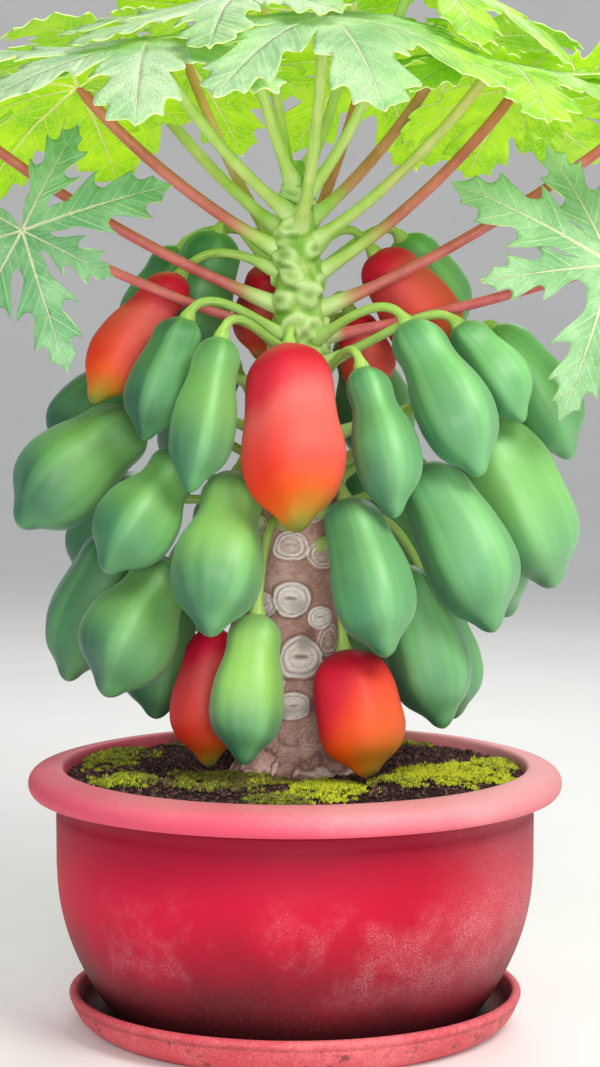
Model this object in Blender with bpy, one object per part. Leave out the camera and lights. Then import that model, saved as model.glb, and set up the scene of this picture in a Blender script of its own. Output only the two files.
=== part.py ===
"""A dwarf papaya tree in a bowl pot on its saucer, in metres, +Z up, standing on z = 0.

The front of the tree faces -Y. Azimuths are in degrees from +X, anticlockwise seen from above,
so 270 is the front, 180 the left and 0 the right.
"""

import math

import bmesh
import bpy
import numpy as np
from mathutils import Vector
from mathutils.bvhtree import BVHTree

# Gap that pieces keep where one rests on another or is cut by it
GAP = 0.0003

# Saucer
SAUCER_FLOOR = 0.010
SAUCER_FLOOR_RADIUS = 0.182
SAUCER_RADIUS = 0.213
SAUCER_HEIGHT = 0.036
SAUCER_WALL = 0.009

# Bowl pot, with its rim as a rolled flange
POT_FOOT_RADIUS = 0.165
POT_FLOOR = 0.012
POT_WALL = 0.010
POT_BELLY_RADIUS = 0.2235
POT_BELLY_HEIGHT = 0.150
POT_NECK_RADIUS = 0.2240
POT_RIM_RADIUS = 0.250
POT_RIM_INNER_RADIUS = 0.2165
POT_RIM_HEIGHT = 0.247
POT_RIM_DEPTH = 0.027
TURNED_STEPS = 30

# Potting soil, which fills the bowl to just under its rim
SOIL_HEIGHT = 0.240
SOIL_EDGE_HEIGHT = 0.236

# Trunk, from its flat cut on the soil to the growing tip
TRUNK_FOOT = SOIL_HEIGHT + GAP
TRUNK_TIP = 0.808
# Height and radius: a flare at the foot, a stout stem, and a taper through the crown
TRUNK_TAPER = (
    (0.240, 0.059), (0.252, 0.051), (0.275, 0.0455), (0.35, 0.043), (0.50, 0.0380),
    (0.62, 0.0272), (0.66, 0.0240), (0.71, 0.0218), (0.745, 0.0180), (0.78, 0.014), (0.808, 0.0075),
)
FLARE_RIDGE = 0.10
FLARE_RIDGES = 5
FLARE_HEIGHT = 0.022
TRUNK_LEAN = 0.006
TRUNK_SIDES = 16
TRUNK_RINGS = 13

# Petioles
PETIOLE_SIDES = 5
PETIOLE_RINGS = 6
PETIOLE_BASE_RADIUS = 0.0052
PETIOLE_TIP_RADIUS = 0.0045
PETIOLE_CUSHION = 0.60

# Leaf blades: palmate, with seven lobes that each carry two pairs of side lobes
BLADE_THICKNESS = 0.0042
RIB_DEPTH = 0.0016
LOBE_COUNT = 7
LOBE_SPACING = 46.0
LOBE_LENGTHS = (1.0, 0.96, 0.84, 0.62)
LOBE_MARGIN = 0.33
# The notch between two lobes, from the centre: deep on the hanging leaves, shallower in the crown
SINUS = 0.27
CROWN_SINUS = 0.36
ROW_ANGLE = 40.0
# Each station: where its row leaves the midrib, and how far the row runs to the edge of the lobe
LOBE_STATIONS = ((0.262, 0.165), (0.312, 0.360), (0.485, 0.180), (0.602, 0.285))
CROWN_STATIONS = ((0.272, 0.195), (0.320, 0.360), (0.470, 0.215), (0.602, 0.310))
BACK_ANGLE = 22.0
BACK_REACH = 0.20
CUP = 0.16
DROOP_POWER = 1.6
CLEARANCE = 0.0012
DROOP_TRIALS = (0.0, -0.2, 0.2, -0.4, 0.4, -0.6, 0.6, -0.8, 0.8)
LENGTH_TRIALS = (1.0, 0.85, 0.7, 0.55, 0.42)

# Leaves: azimuth and height where the petiole leaves the trunk; azimuth, reach and height of its
# far end; which way the blade slopes down and how steeply; the heading of its middle lobe; the
# length of that lobe; and how far its lobes droop
LEAVES = {
    "leaf_left_hanging": (165, 0.645, 202, 0.262, 0.742, 264, 80, 282, 0.135, 0.10),
    "leaf_right_hanging": (12, 0.642, 346, 0.295, 0.712, 282, 78, 263, 0.150, 0.15),
    "leaf_left_low": (184, 0.668, 185, 0.330, 0.862, 172, 26, 180, 0.165, 0.30),
    "leaf_right_low": (356, 0.664, 358, 0.330, 0.858, 12, 26, 0, 0.165, 0.30),
    "leaf_left_long": (196, 0.718, 191, 0.201, 0.874, 112, 22, 175, 0.195, 0.12),
    "leaf_left_back": (140, 0.735, 146, 0.205, 0.920, 112, 24, 145, 0.195, 0.16),
    "leaf_front_left": (230, 0.755, 229, 0.195, 0.905, 250, 12, 222, 0.190, 0.20),
    "leaf_front_left_inner": (254, 0.782, 240, 0.105, 0.950, 225, 14, 215, 0.175, 0.22),
    "leaf_front": (286, 0.738, 280, 0.155, 0.926, 275, 14, 285, 0.185, 0.20),
    "leaf_front_right_inner": (328, 0.768, 330, 0.125, 0.972, 330, 16, 340, 0.165, 0.22),
    "leaf_right_front": (337, 0.726, 338, 0.195, 0.894, 330, 10, 330, 0.175, 0.22),
    "leaf_right_long": (10, 0.695, 12, 0.215, 0.880, 70, 22, 10, 0.195, 0.10),
    "leaf_right_back": (45, 0.745, 42, 0.205, 0.925, 66, 24, 45, 0.195, 0.16),
    "leaf_back_left": (112, 0.700, 118, 0.235, 0.922, 110, 26, 120, 0.172, 0.16),
    "leaf_back": (78, 0.718, 72, 0.240, 0.926, 80, 26, 70, 0.172, 0.16),
    "leaf_back_inner": (94, 0.768, 103, 0.135, 0.962, 95, 26, 100, 0.175, 0.18),
    "leaf_back_right_inner": (40, 0.788, 48, 0.100, 1.020, 50, 12, 45, 0.150, 0.22),
}
# The lobes of the two leaves that hang at the front, from -138 to 138 degrees
OWN_LOBES = {
    "leaf_left_hanging": (0.090, 0.110, 0.125, 0.130, 0.090, 0.138, 0.110),
    "leaf_right_hanging": (0.125, 0.160, 0.118, 0.145, 0.140, 0.120, 0.100),
}
# Where the lobes of the right one point, from its middle lobe: they are spread by the wind
OWN_ANGLES = {
    "leaf_right_hanging": (-138.0, -103.0, -66.0, 0.0, 46.0, 92.0, 138.0),
}

# Fruits: azimuth, height and reach of the stalk end; tilt outwards from hanging straight down;
# length; largest radius; how much the neck narrows; and ripeness from 0 to 1
FRUITS = {
    "fruit_front_ripe": (276, 0.636, 0.070, 24, 0.178, 0.0470, -0.02, 1.0),
    "fruit_front_right": (305, 0.620, 0.098, 20, 0.142, 0.0302, 0.20, 0.0),
    "fruit_front_left": (230, 0.648, 0.112, 15, 0.143, 0.0295, 0.14, 0.1),
    "fruit_middle_left": (238, 0.532, 0.095, 24, 0.158, 0.0410, 0.20, 0.2),
    "fruit_middle_right": (301, 0.503, 0.096, 20, 0.152, 0.0368, 0.04, 0.0),
    "fruit_low_left": (247, 0.397, 0.088, 14, 0.138, 0.0340, 0.14, 0.3),
    "fruit_low_left_ripe": (202, 0.378, 0.080, 4, 0.130, 0.0310, 0.05, 1.0),
    "fruit_low_right_ripe": (301, 0.357, 0.092, 14, 0.118, 0.0400, -0.06, 0.9),
    "fruit_upper_right": (321, 0.650, 0.106, 28, 0.158, 0.0355, 0.16, 0.0),
    "fruit_right_ribbed": (331, 0.531, 0.124, 27, 0.168, 0.0425, 0.04, 0.0),
    "fruit_right_large": (0, 0.578, 0.172, 22, 0.176, 0.0465, -0.10, 0.1),
    "fruit_right_upper": (350, 0.650, 0.148, 32, 0.108, 0.0275, 0.10, 0.0),
    "fruit_right_shoulder": (8, 0.645, 0.176, 30, 0.148, 0.0335, 0.05, 0.0),
    "fruit_right_top_ripe": (18, 0.731, 0.062, 36, 0.124, 0.0370, 0.05, 0.95),
    "fruit_right_top": (36, 0.735, 0.122, 38, 0.118, 0.0320, 0.05, 0.0),
    "fruit_right_inner_ripe": (36, 0.676, 0.080, 12, 0.085, 0.0260, 0.05, 0.9),
    "fruit_left_inner_ripe": (110, 0.712, 0.070, 20, 0.098, 0.0290, 0.05, 1.0),
    "fruit_left_top": (150, 0.745, 0.080, 20, 0.135, 0.0370, 0.05, 0.0),
    "fruit_left_top_back": (136, 0.728, 0.146, 32, 0.122, 0.0330, 0.10, 0.0),
    "fruit_left_upper_ripe": (190, 0.703, 0.086, 34, 0.148, 0.0300, 0.15, 0.85),
    "fruit_left_upper": (210, 0.654, 0.108, 13, 0.118, 0.0295, 0.10, 0.0),
    "fruit_left_large": (182, 0.594, 0.150, 38, 0.152, 0.0450, 0.10, 0.1),
    "fruit_left_shoulder": (159, 0.616, 0.164, 46, 0.120, 0.0330, 0.05, 0.0),
    "fruit_left_middle": (211, 0.552, 0.115, 26, 0.135, 0.0375, 0.24, 0.1),
    "fruit_left_low": (201, 0.449, 0.122, 26, 0.142, 0.0440, 0.20, 0.1),
    "fruit_left_low_outer": (169, 0.462, 0.162, 20, 0.155, 0.0380, 0.05, 0.0),
    "fruit_left_back_middle": (146, 0.506, 0.170, 40, 0.130, 0.0370, 0.10, 0.0),
    "fruit_left_back_low": (158, 0.400, 0.125, 12, 0.122, 0.0360, 0.10, 0.0),
    "fruit_right_low": (335, 0.440, 0.110, 13, 0.155, 0.0385, 0.08, 0.0),
    "fruit_right_back_low": (15, 0.404, 0.128, 12, 0.125, 0.0360, 0.05, 0.0),
    "fruit_right_back_middle": (24, 0.490, 0.160, 30, 0.135, 0.0380, 0.10, 0.0),
    "fruit_back_upper_right": (62, 0.650, 0.120, 28, 0.155, 0.0380, 0.20, 0.0),
    "fruit_back_upper": (92, 0.640, 0.110, 26, 0.160, 0.0400, 0.10, 0.9),
    "fruit_back_upper_left": (122, 0.630, 0.130, 30, 0.155, 0.0380, 0.20, 0.0),
    "fruit_back_middle_right": (55, 0.520, 0.120, 26, 0.160, 0.0410, 0.10, 0.0),
    "fruit_back_middle": (88, 0.510, 0.115, 24, 0.158, 0.0400, 0.20, 0.0),
    "fruit_back_middle_left": (120, 0.490, 0.125, 24, 0.155, 0.0410, 0.20, 0.1),
    "fruit_back_low_right": (60, 0.400, 0.105, 14, 0.130, 0.0370, 0.10, 0.0),
    "fruit_back_low_left": (108, 0.395, 0.105, 12, 0.128, 0.0360, 0.10, 0.8),
}
FRUIT_SIDES = 10
FRUIT_RINGS = (0.03, 0.12, 0.34, 0.62, 0.84, 0.955)
FRUIT_ANGLES = 5
FRUIT_ANGLE_DEPTH = 0.035
FRUIT_BOW = 0.035
FRUIT_CLEARANCE = 0.0020
BALLS = 10
SETTLING_ROUNDS = 500
SETTLING_PULL = 0.03
SOIL_CLEARANCE = -0.003

# Fruit stalks
STALK_SIDES = 4
STALK_RINGS = 4
STALK_RADIUS = 0.0052
STALK_SINK = 0.010
STALK_SWINGS = (0, 12, -12, 24, -24, 38, -38, 55, -55, 75, -75)
STALK_RISES = (0.0, 0.02, -0.02, 0.04, -0.04, 0.06, -0.06, 0.08, -0.08, -0.11)
STALK_ARCHES = (0.022, 0.010, 0.036)
STALK_CLEARANCE = 0.0015

# Colours as red, green, blue, and then roughness
COLOURS = {
    "terracotta": ((0.62, 0.05, 0.09), 0.6),
    "soil": ((0.09, 0.05, 0.04), 0.95),
    "bark": ((0.36, 0.25, 0.20), 0.85),
    "leaf": ((0.30, 0.55, 0.20), 0.5),
    "green_fruit": ((0.13, 0.38, 0.16), 0.4),
    "ripe_fruit": ((0.75, 0.10, 0.04), 0.4),
}


def clear_scene():
    for obj in list(bpy.data.objects):
        bpy.data.objects.remove(obj)


def material(name):
    colour, roughness = COLOURS[name]
    made = bpy.data.materials.get(name) or bpy.data.materials.new(name)
    made.use_nodes = True
    shader = made.node_tree.nodes["Principled BSDF"]
    shader.inputs["Base Color"].default_value = (*colour, 1.0)
    shader.inputs["Roughness"].default_value = roughness
    shader.inputs["Metallic"].default_value = 0.0
    return made


def add_object(name, points, faces, colour):
    """A new object from points and faces, shaded smooth, with its faces turned outwards."""
    mesh = bpy.data.meshes.new(name)
    mesh.from_pydata([tuple(p) for p in points], [], faces)
    work = bmesh.new()
    work.from_mesh(mesh)
    bmesh.ops.recalc_face_normals(work, faces=work.faces)
    work.to_mesh(mesh)
    work.free()
    mesh.shade_smooth()
    mesh.set_sharp_from_angle(angle=math.radians(50))
    mesh.materials.append(material(colour))
    obj = bpy.data.objects.new(name, mesh)
    bpy.context.scene.collection.objects.link(obj)
    return obj


def joined(whole, others, cutter):
    """Joins other pieces to the first by one Boolean union, and cuts it clear of the trunk."""
    gathered = bpy.data.collections.new(whole.name + "_pieces")
    bpy.context.scene.collection.children.link(gathered)
    for other in others:
        bpy.context.scene.collection.objects.unlink(other)
        gathered.objects.link(other)
    union = whole.modifiers.new("union", "BOOLEAN")
    union.operation = "UNION"
    union.operand_type = "COLLECTION"
    union.collection = gathered
    union.solver = "EXACT"
    clear = whole.modifiers.new("clear", "BOOLEAN")
    clear.operation = "DIFFERENCE"
    clear.object = cutter
    clear.solver = "EXACT"
    bpy.context.view_layer.objects.active = whole
    bpy.ops.object.modifier_apply(modifier=union.name)
    bpy.ops.object.modifier_apply(modifier=clear.name)
    for other in others:
        bpy.data.objects.remove(other)
    bpy.data.collections.remove(gathered)


def outward(azimuth):
    turn = math.radians(azimuth)
    return np.array((math.cos(turn), math.sin(turn), 0.0))


def place(azimuth, reach, height):
    return outward(azimuth) * reach + np.array((0.0, 0.0, height))


def unit(vector):
    return vector / math.sqrt((vector * vector).sum())


def bezier(start, leave, arrive, end, count):
    """Points along a smooth curve, count of them, both ends included."""
    t = np.linspace(0.0, 1.0, count)[:, None]
    return (
        (1 - t) ** 3 * start
        + 3 * (1 - t) ** 2 * t * leave
        + 3 * (1 - t) * t**2 * arrive
        + t**3 * end
    )


def spread(path, steps):
    """Points spread evenly along each straight stretch of a path."""
    shares = [i / steps for i in range(steps)]
    return [path[i] * (1 - s) + path[i + 1] * s for i in range(len(path) - 1) for s in shares]


def arc(centre_x, centre_z, radius_x, radius_z, start, end, count):
    """Profile points on a quarter or so of an ellipse, from start to end in degrees."""
    turns = [math.radians(start + (end - start) * i / (count - 1)) for i in range(count)]
    return [(centre_x + radius_x * math.cos(t), centre_z + radius_z * math.sin(t)) for t in turns]


def tube(path, radii, sides):
    """Points and faces of a closed tube round a path."""
    points = []
    side = None
    for i, centre in enumerate(path):
        along = unit(path[min(i + 1, len(path) - 1)] - path[max(i - 1, 0)])
        if side is None:
            side = unit(np.cross(along, np.array((0.31, 0.22, 0.93))))
        side = unit(side - along * (side * along).sum())
        other = np.cross(along, side)
        for k in range(sides):
            turn = 2 * math.pi * k / sides
            points.append(centre + radii[i] * (math.cos(turn) * side + math.sin(turn) * other))
    faces = []
    for i in range(len(path) - 1):
        for k in range(sides):
            near, far = i * sides, (i + 1) * sides
            after = (k + 1) % sides
            faces.append((near + k, near + after, far + after, far + k))
    last = (len(path) - 1) * sides
    faces.append(tuple(reversed(range(sides))))
    faces.append(tuple(last + k for k in range(sides)))
    return points, faces


def turned(name, profile, steps, colour):
    """A solid turned round the Z axis by a Screw modifier, from a profile that runs down its outer side."""
    mesh = bpy.data.meshes.new(name)
    mesh.from_pydata([(x, 0.0, z) for x, z in profile], [(i, i + 1) for i in range(len(profile) - 1)], [])
    mesh.materials.append(material(colour))
    obj = bpy.data.objects.new(name, mesh)
    bpy.context.scene.collection.objects.link(obj)
    screw = obj.modifiers.new("turn", "SCREW")
    screw.steps = steps
    screw.render_steps = steps
    screw.use_merge_vertices = True
    screw.merge_threshold = 0.00001
    screw.use_smooth_shade = True
    return obj


def pot_outside(height):
    """Radius of the bowl's outside at a height: it swells from the foot to the belly."""
    foot = SAUCER_FLOOR + GAP
    share = min(1.0, (height - foot) / (POT_BELLY_HEIGHT - foot))
    return POT_FOOT_RADIUS + (POT_BELLY_RADIUS - POT_FOOT_RADIUS) * math.sin(share * math.pi / 2) ** 0.75


def pot_profile():
    foot = SAUCER_FLOOR + GAP
    floor = foot + POT_FLOOR
    neck = POT_RIM_HEIGHT - POT_RIM_DEPTH
    wall_heights = [floor + (neck - floor) * share for share in (0.14, 0.52)]
    inside = [(0.0, floor), (pot_outside(floor) - POT_WALL - 0.012, floor)]
    inside += [(pot_outside(z) - POT_WALL, z) for z in wall_heights]
    inside += [(POT_NECK_RADIUS - POT_WALL, neck), (POT_RIM_INNER_RADIUS, POT_RIM_HEIGHT - 0.006)]
    rim_width = POT_RIM_RADIUS - POT_RIM_INNER_RADIUS - 0.010
    rim = [(POT_RIM_INNER_RADIUS + 0.003, POT_RIM_HEIGHT)]
    rim += arc(POT_RIM_RADIUS - rim_width, POT_RIM_HEIGHT - 0.016, rim_width, 0.0155, 70, 0, 4)
    rim += [(POT_RIM_RADIUS - 0.003, neck + 0.003), (POT_NECK_RADIUS + 0.004, neck - 0.002)]
    outside_heights = [foot + (neck - foot) * share for share in (0.85, 0.60, 0.37, 0.18, 0.05)]
    outside = [(pot_outside(z), z) for z in outside_heights]
    return inside + rim + outside + [(POT_FOOT_RADIUS - 0.004, foot), (0.0, foot)]


def soil_profile():
    """The fill's outline: level round the trunk, a little lower at the wall, then down inside the bowl."""
    inside = [p for p in pot_profile() if p[1] < SOIL_EDGE_HEIGHT][:5]
    neck_x, neck_z = inside[-1]
    top_x = neck_x + (POT_RIM_INNER_RADIUS - neck_x) * (SOIL_EDGE_HEIGHT - neck_z) / (
        POT_RIM_HEIGHT - 0.006 - neck_z
    )
    side = [(top_x, SOIL_EDGE_HEIGHT)] + inside[:0:-1]
    side = [(x - GAP * 1.4, z if z > inside[0][1] else z + GAP) for x, z in side]
    top = [(0.0, SOIL_HEIGHT), (0.085, SOIL_HEIGHT), (0.150, SOIL_HEIGHT + 0.0015)]
    return top + side + [(0.0, inside[0][1] + GAP)]


def saucer_profile():
    lip = SAUCER_RADIUS - SAUCER_WALL / 2
    lip_height = SAUCER_HEIGHT - SAUCER_WALL / 2
    inside = [(0.0, SAUCER_FLOOR), (SAUCER_FLOOR_RADIUS, SAUCER_FLOOR), (SAUCER_FLOOR_RADIUS + 0.013, 0.019)]
    rim = arc(lip, lip_height, SAUCER_WALL / 2, SAUCER_WALL / 2, 180, -30, 4)
    outside = [(SAUCER_RADIUS - 0.009, 0.014), (SAUCER_FLOOR_RADIUS + 0.006, 0.0), (0.0, 0.0)]
    return inside + rim + outside


def trunk_centre(height):
    """The trunk bows a little to the right halfway up."""
    share = (height - TRUNK_FOOT) / (TRUNK_TIP - TRUNK_FOOT)
    return np.array((TRUNK_LEAN * (math.sin(math.pi * share) - 0.4 * (1 - share)), 0.0, height))


def trunk_radius(height):
    return float(np.interp(height, [h for h, _ in TRUNK_TAPER], [r for _, r in TRUNK_TAPER]))


def trunk(name, clearance=0.0):
    """Rings from the flat foot to the tip. With a clearance it is the cutter that fits round the trunk."""
    shares = [(i / (TRUNK_RINGS - 1)) ** 1.25 for i in range(TRUNK_RINGS)]
    heights = [TRUNK_FOOT + (TRUNK_TIP - TRUNK_FOOT) * share for share in shares]
    path, radii = [], []
    for i, height in enumerate(heights):
        ends = clearance * ((i == TRUNK_RINGS - 1) - (i == 0))
        path.append(trunk_centre(height) + np.array((0.0, 0.0, ends)))
        radii.append(trunk_radius(height) + clearance)
    points = []
    for centre, radius in zip(path, radii):
        foot = math.exp(-(centre[2] - TRUNK_FOOT) / FLARE_HEIGHT)
        for k in range(TRUNK_SIDES):
            turn = 2 * math.pi * k / TRUNK_SIDES
            ridge = 1 + FLARE_RIDGE * foot * math.cos(FLARE_RIDGES * turn + 0.6)
            points.append(centre + outward(math.degrees(turn)) * radius * ridge)
    _, faces = tube(np.array(path), radii, TRUNK_SIDES)
    return add_object(name, points, faces, "bark")


def leaf_axes(leaf):
    """Centre of the blade, its normal, its heading and its side, as vectors."""
    azimuth, reach, height, downhill, slope, heading = leaf[2:8]
    tilt, turn = math.radians(slope), math.radians(heading - downhill)
    up = np.array((0.0, 0.0, 1.0))
    normal = outward(downhill) * math.sin(tilt) + up * math.cos(tilt)
    steepest = outward(downhill) * math.cos(tilt) - up * math.sin(tilt)
    forward = steepest * math.cos(turn) + outward(downhill + 90) * math.sin(turn)
    return place(azimuth, reach, height), normal, forward, np.cross(normal, forward)


def petiole_path(leaf, count):
    """From inside the trunk, out and up, and into the underside of the blade."""
    base_azimuth, base_height = leaf[0], leaf[1]
    centre, normal, _, _ = leaf_axes(leaf)
    start = trunk_centre(base_height)
    run = centre - start
    length = math.sqrt((run * run).sum())
    leave = unit(outward(base_azimuth) * 0.6 + run / length)
    arrive = unit(0.85 * run / length + 0.45 * normal)
    return bezier(start, start + leave * length * 0.33, centre - arrive * length * 0.25, centre, count)


def petiole_radii(leaf, count):
    """Thickest at the cushion where it meets the trunk."""
    size = leaf[8] / 0.150
    radii = []
    for i in range(count):
        share = i / (count - 1)
        plain = PETIOLE_BASE_RADIUS + (PETIOLE_TIP_RADIUS - PETIOLE_BASE_RADIUS) * share**0.7
        radii.append(size**0.5 * plain * (1 + PETIOLE_CUSHION * math.exp(-(((share - 0.05) / 0.09) ** 2))))
    return radii


def lobe_angle(name, lobe):
    if name in OWN_ANGLES:
        return OWN_ANGLES[name][lobe]
    return (lobe - LOBE_COUNT // 2) * LOBE_SPACING


def lobe_length(name, lobe):
    if name in OWN_LOBES:
        return OWN_LOBES[name][lobe]
    return LEAVES[name][8] * LOBE_LENGTHS[abs(lobe - LOBE_COUNT // 2)]


def blade_point(name, lobe, shape, along, across):
    """A point on a lobe's middle surface. along and across are in metres in the flat leaf, from its centre.

    shape is the lobe's droop and its length. Inside the web round the centre all lobes agree."""
    leaf = LEAVES[name]
    centre, normal, forward, side = leaf_axes(leaf)
    turn = math.radians(lobe_angle(name, lobe))
    out = forward * math.cos(turn) + side * math.sin(turn)
    aside = -forward * math.sin(turn) + side * math.cos(turn)
    droop, length = shape
    radius = math.hypot(along, across)
    drop = CUP * radius**2 / leaf[8]
    past = max(0.0, radius - LOBE_MARGIN * length) / length
    drop += droop * length * past**DROOP_POWER
    return centre + out * along + aside * across - normal * drop


def station_points(stations, length, hand):
    """A half lobe's edge, from the waist beside the sinus to the last side lobe, as along and across."""
    row = math.radians(ROW_ANGLE)
    return [
        (length * (start + run * math.cos(row)), hand * length * run * math.sin(row))
        for start, run in stations
    ]


def blade(name, shapes, thickness, lobes=range(LOBE_COUNT), web_only=False):
    """Points and faces of a blade, or of some of its lobes, that droop and reach as shapes says.

    With web_only they stop at the web that joins the lobes round the centre."""
    sinus_share, stations = (SINUS, LOBE_STATIONS) if name in OWN_LOBES else (CROWN_SINUS, CROWN_STATIONS)
    _, normal, _, _ = leaf_axes(LEAVES[name])
    upper, rib = [], []

    def corner(lobe, along, across, is_rib=False):
        upper.append(blade_point(name, lobe, shapes[lobe], along, across))
        rib.append(is_rib)
        return len(upper) - 1

    flat, edge = [], []
    middle = corner(LOBE_COUNT // 2, 0.0, 0.0, True)
    sinuses = []
    for lobe in range(LOBE_COUNT + 1):
        if 0 < lobe < LOBE_COUNT:
            half = math.radians(lobe_angle(name, lobe) - lobe_angle(name, lobe - 1)) / 2
            reach = sinus_share * min(shapes[lobe - 1][1], shapes[lobe][1])
            sinuses.append(corner(lobe, reach * math.cos(half), -reach * math.sin(half)))
        else:
            back = math.radians(BACK_ANGLE) * (1 if lobe else -1)
            near = min(lobe, LOBE_COUNT - 1)
            reach = BACK_REACH * shapes[near][1]
            sinuses.append(corner(near, reach * math.cos(back), reach * math.sin(back)))
    for lobe in lobes:
        length = shapes[lobe][1]
        inner = corner(lobe, 0.31 * length, 0.0, True)
        outer = corner(lobe, 0.62 * length, 0.0, True)
        tip = corner(lobe, length, 0.0)
        for hand in (-1, 1):
            sinus = sinuses[lobe + (hand > 0)]
            side_points = station_points(stations, length, hand)
            waist, first, notch, second = [corner(lobe, a, c) for a, c in side_points]
            strip = [
                (middle, sinus, inner), (sinus, waist, inner), (waist, first, inner), (inner, first, notch),
                (inner, notch, outer), (notch, second, outer), (outer, second, tip),
            ]
            rim = [(sinus, waist), (waist, first), (first, notch), (notch, second), (second, tip)]
            if web_only:
                strip, rim = strip[:1], []
            if hand < 0:
                strip = [face[::-1] for face in strip]
                rim = [pair[::-1] for pair in rim]
            flat += strip
            edge += rim
    edge += [(middle, sinuses[-1]), (sinuses[0], middle)]
    count = len(upper)
    half_thick = thickness / 2
    points = [p + normal * half_thick for p in upper]
    points += [p - normal * (half_thick + RIB_DEPTH * r) for p, r in zip(upper, rib)]
    faces = [face[::-1] for face in flat]
    faces += [tuple(i + count for i in face) for face in flat]
    faces += [(a, b, b + count, a + count) for a, b in edge]
    return points, faces


def tree_of(pieces):
    """One search tree over the triangles of several (points, faces)."""
    points, faces = [], []
    for own_points, own_faces in pieces:
        start = len(points)
        points += [Vector(p) for p in own_points]
        for face in own_faces:
            fan = range(1, len(face) - 1)
            faces += [(start + face[0], start + face[i], start + face[i + 1]) for i in fan]
    return BVHTree.FromPolygons(points, faces, all_triangles=True)


def full_lobes(name):
    """The droop and length that each lobe of a leaf has where nothing is in its way."""
    return {lobe: (LEAVES[name][9], lobe_length(name, lobe)) for lobe in range(LOBE_COUNT)}


def fitted_lobes(name, obstacles):
    """Each lobe takes the droop nearest its own that clears what is already there, or grows shorter.

    A second round looks again at the lobes whose neighbours have changed since."""
    leaf = LEAVES[name]
    shapes = full_lobes(name)
    full = {lobe: shapes[lobe][1] for lobe in shapes}
    order = sorted(shapes, key=lambda lobe: abs(lobe - LOBE_COUNT // 2))
    for lobe in order * 2:
        trials = [shapes[lobe]]
        for share in LENGTH_TRIALS:
            trials += [(leaf[9] + change, full[lobe] * share) for change in DROOP_TRIALS]
        for trial in trials:
            shapes[lobe] = trial
            grown = blade(name, shapes, BLADE_THICKNESS + 2 * CLEARANCE, [lobe])
            if not tree_of([grown]).overlap(obstacles):
                break
    return shapes


def smooth_step(values):
    values = np.clip(values, 0.0, 1.0)
    return values * values * (3 - 2 * values)


def fruit_radius(share, neck):
    """Radius at a share of the way from stalk to tip, as a part of the largest one."""
    shoulder = np.sqrt(1 - np.maximum(0.0, 1 - share / 0.19) ** 2)
    swell = 0.74 + 0.26 * smooth_step(share / 0.62)
    narrow = 1 - neck * np.exp(-(((share - 0.27) / 0.14) ** 2))
    past = np.clip((share - 0.62) / 0.38, 0.0, 1.0)
    tail = np.cos(math.pi / 2 * past) ** 0.62 * (1 - 0.26 * np.exp(-(((past - 0.80) / 0.20) ** 2)))
    return shoulder * swell * narrow * tail


def fruit_axes(tops, downs, lengths, shares):
    """Points on each fruit's own axis, which bows outwards a little."""
    flat = tops * np.array((1.0, 1.0, 0.0))
    flat = flat / np.sqrt((flat * flat).sum(axis=1))[:, None]
    bow = flat - downs * (flat * downs).sum(axis=1)[:, None]
    bow = bow / np.sqrt((bow * bow).sum(axis=1))[:, None]
    hang = (lengths[:, None] * shares)[:, :, None]
    sag = (FRUIT_BOW * lengths[:, None] * 4 * shares * (1 - shares))[:, :, None]
    return tops[:, None, :] + downs[:, None, :] * hang + bow[:, None, :] * sag


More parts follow.
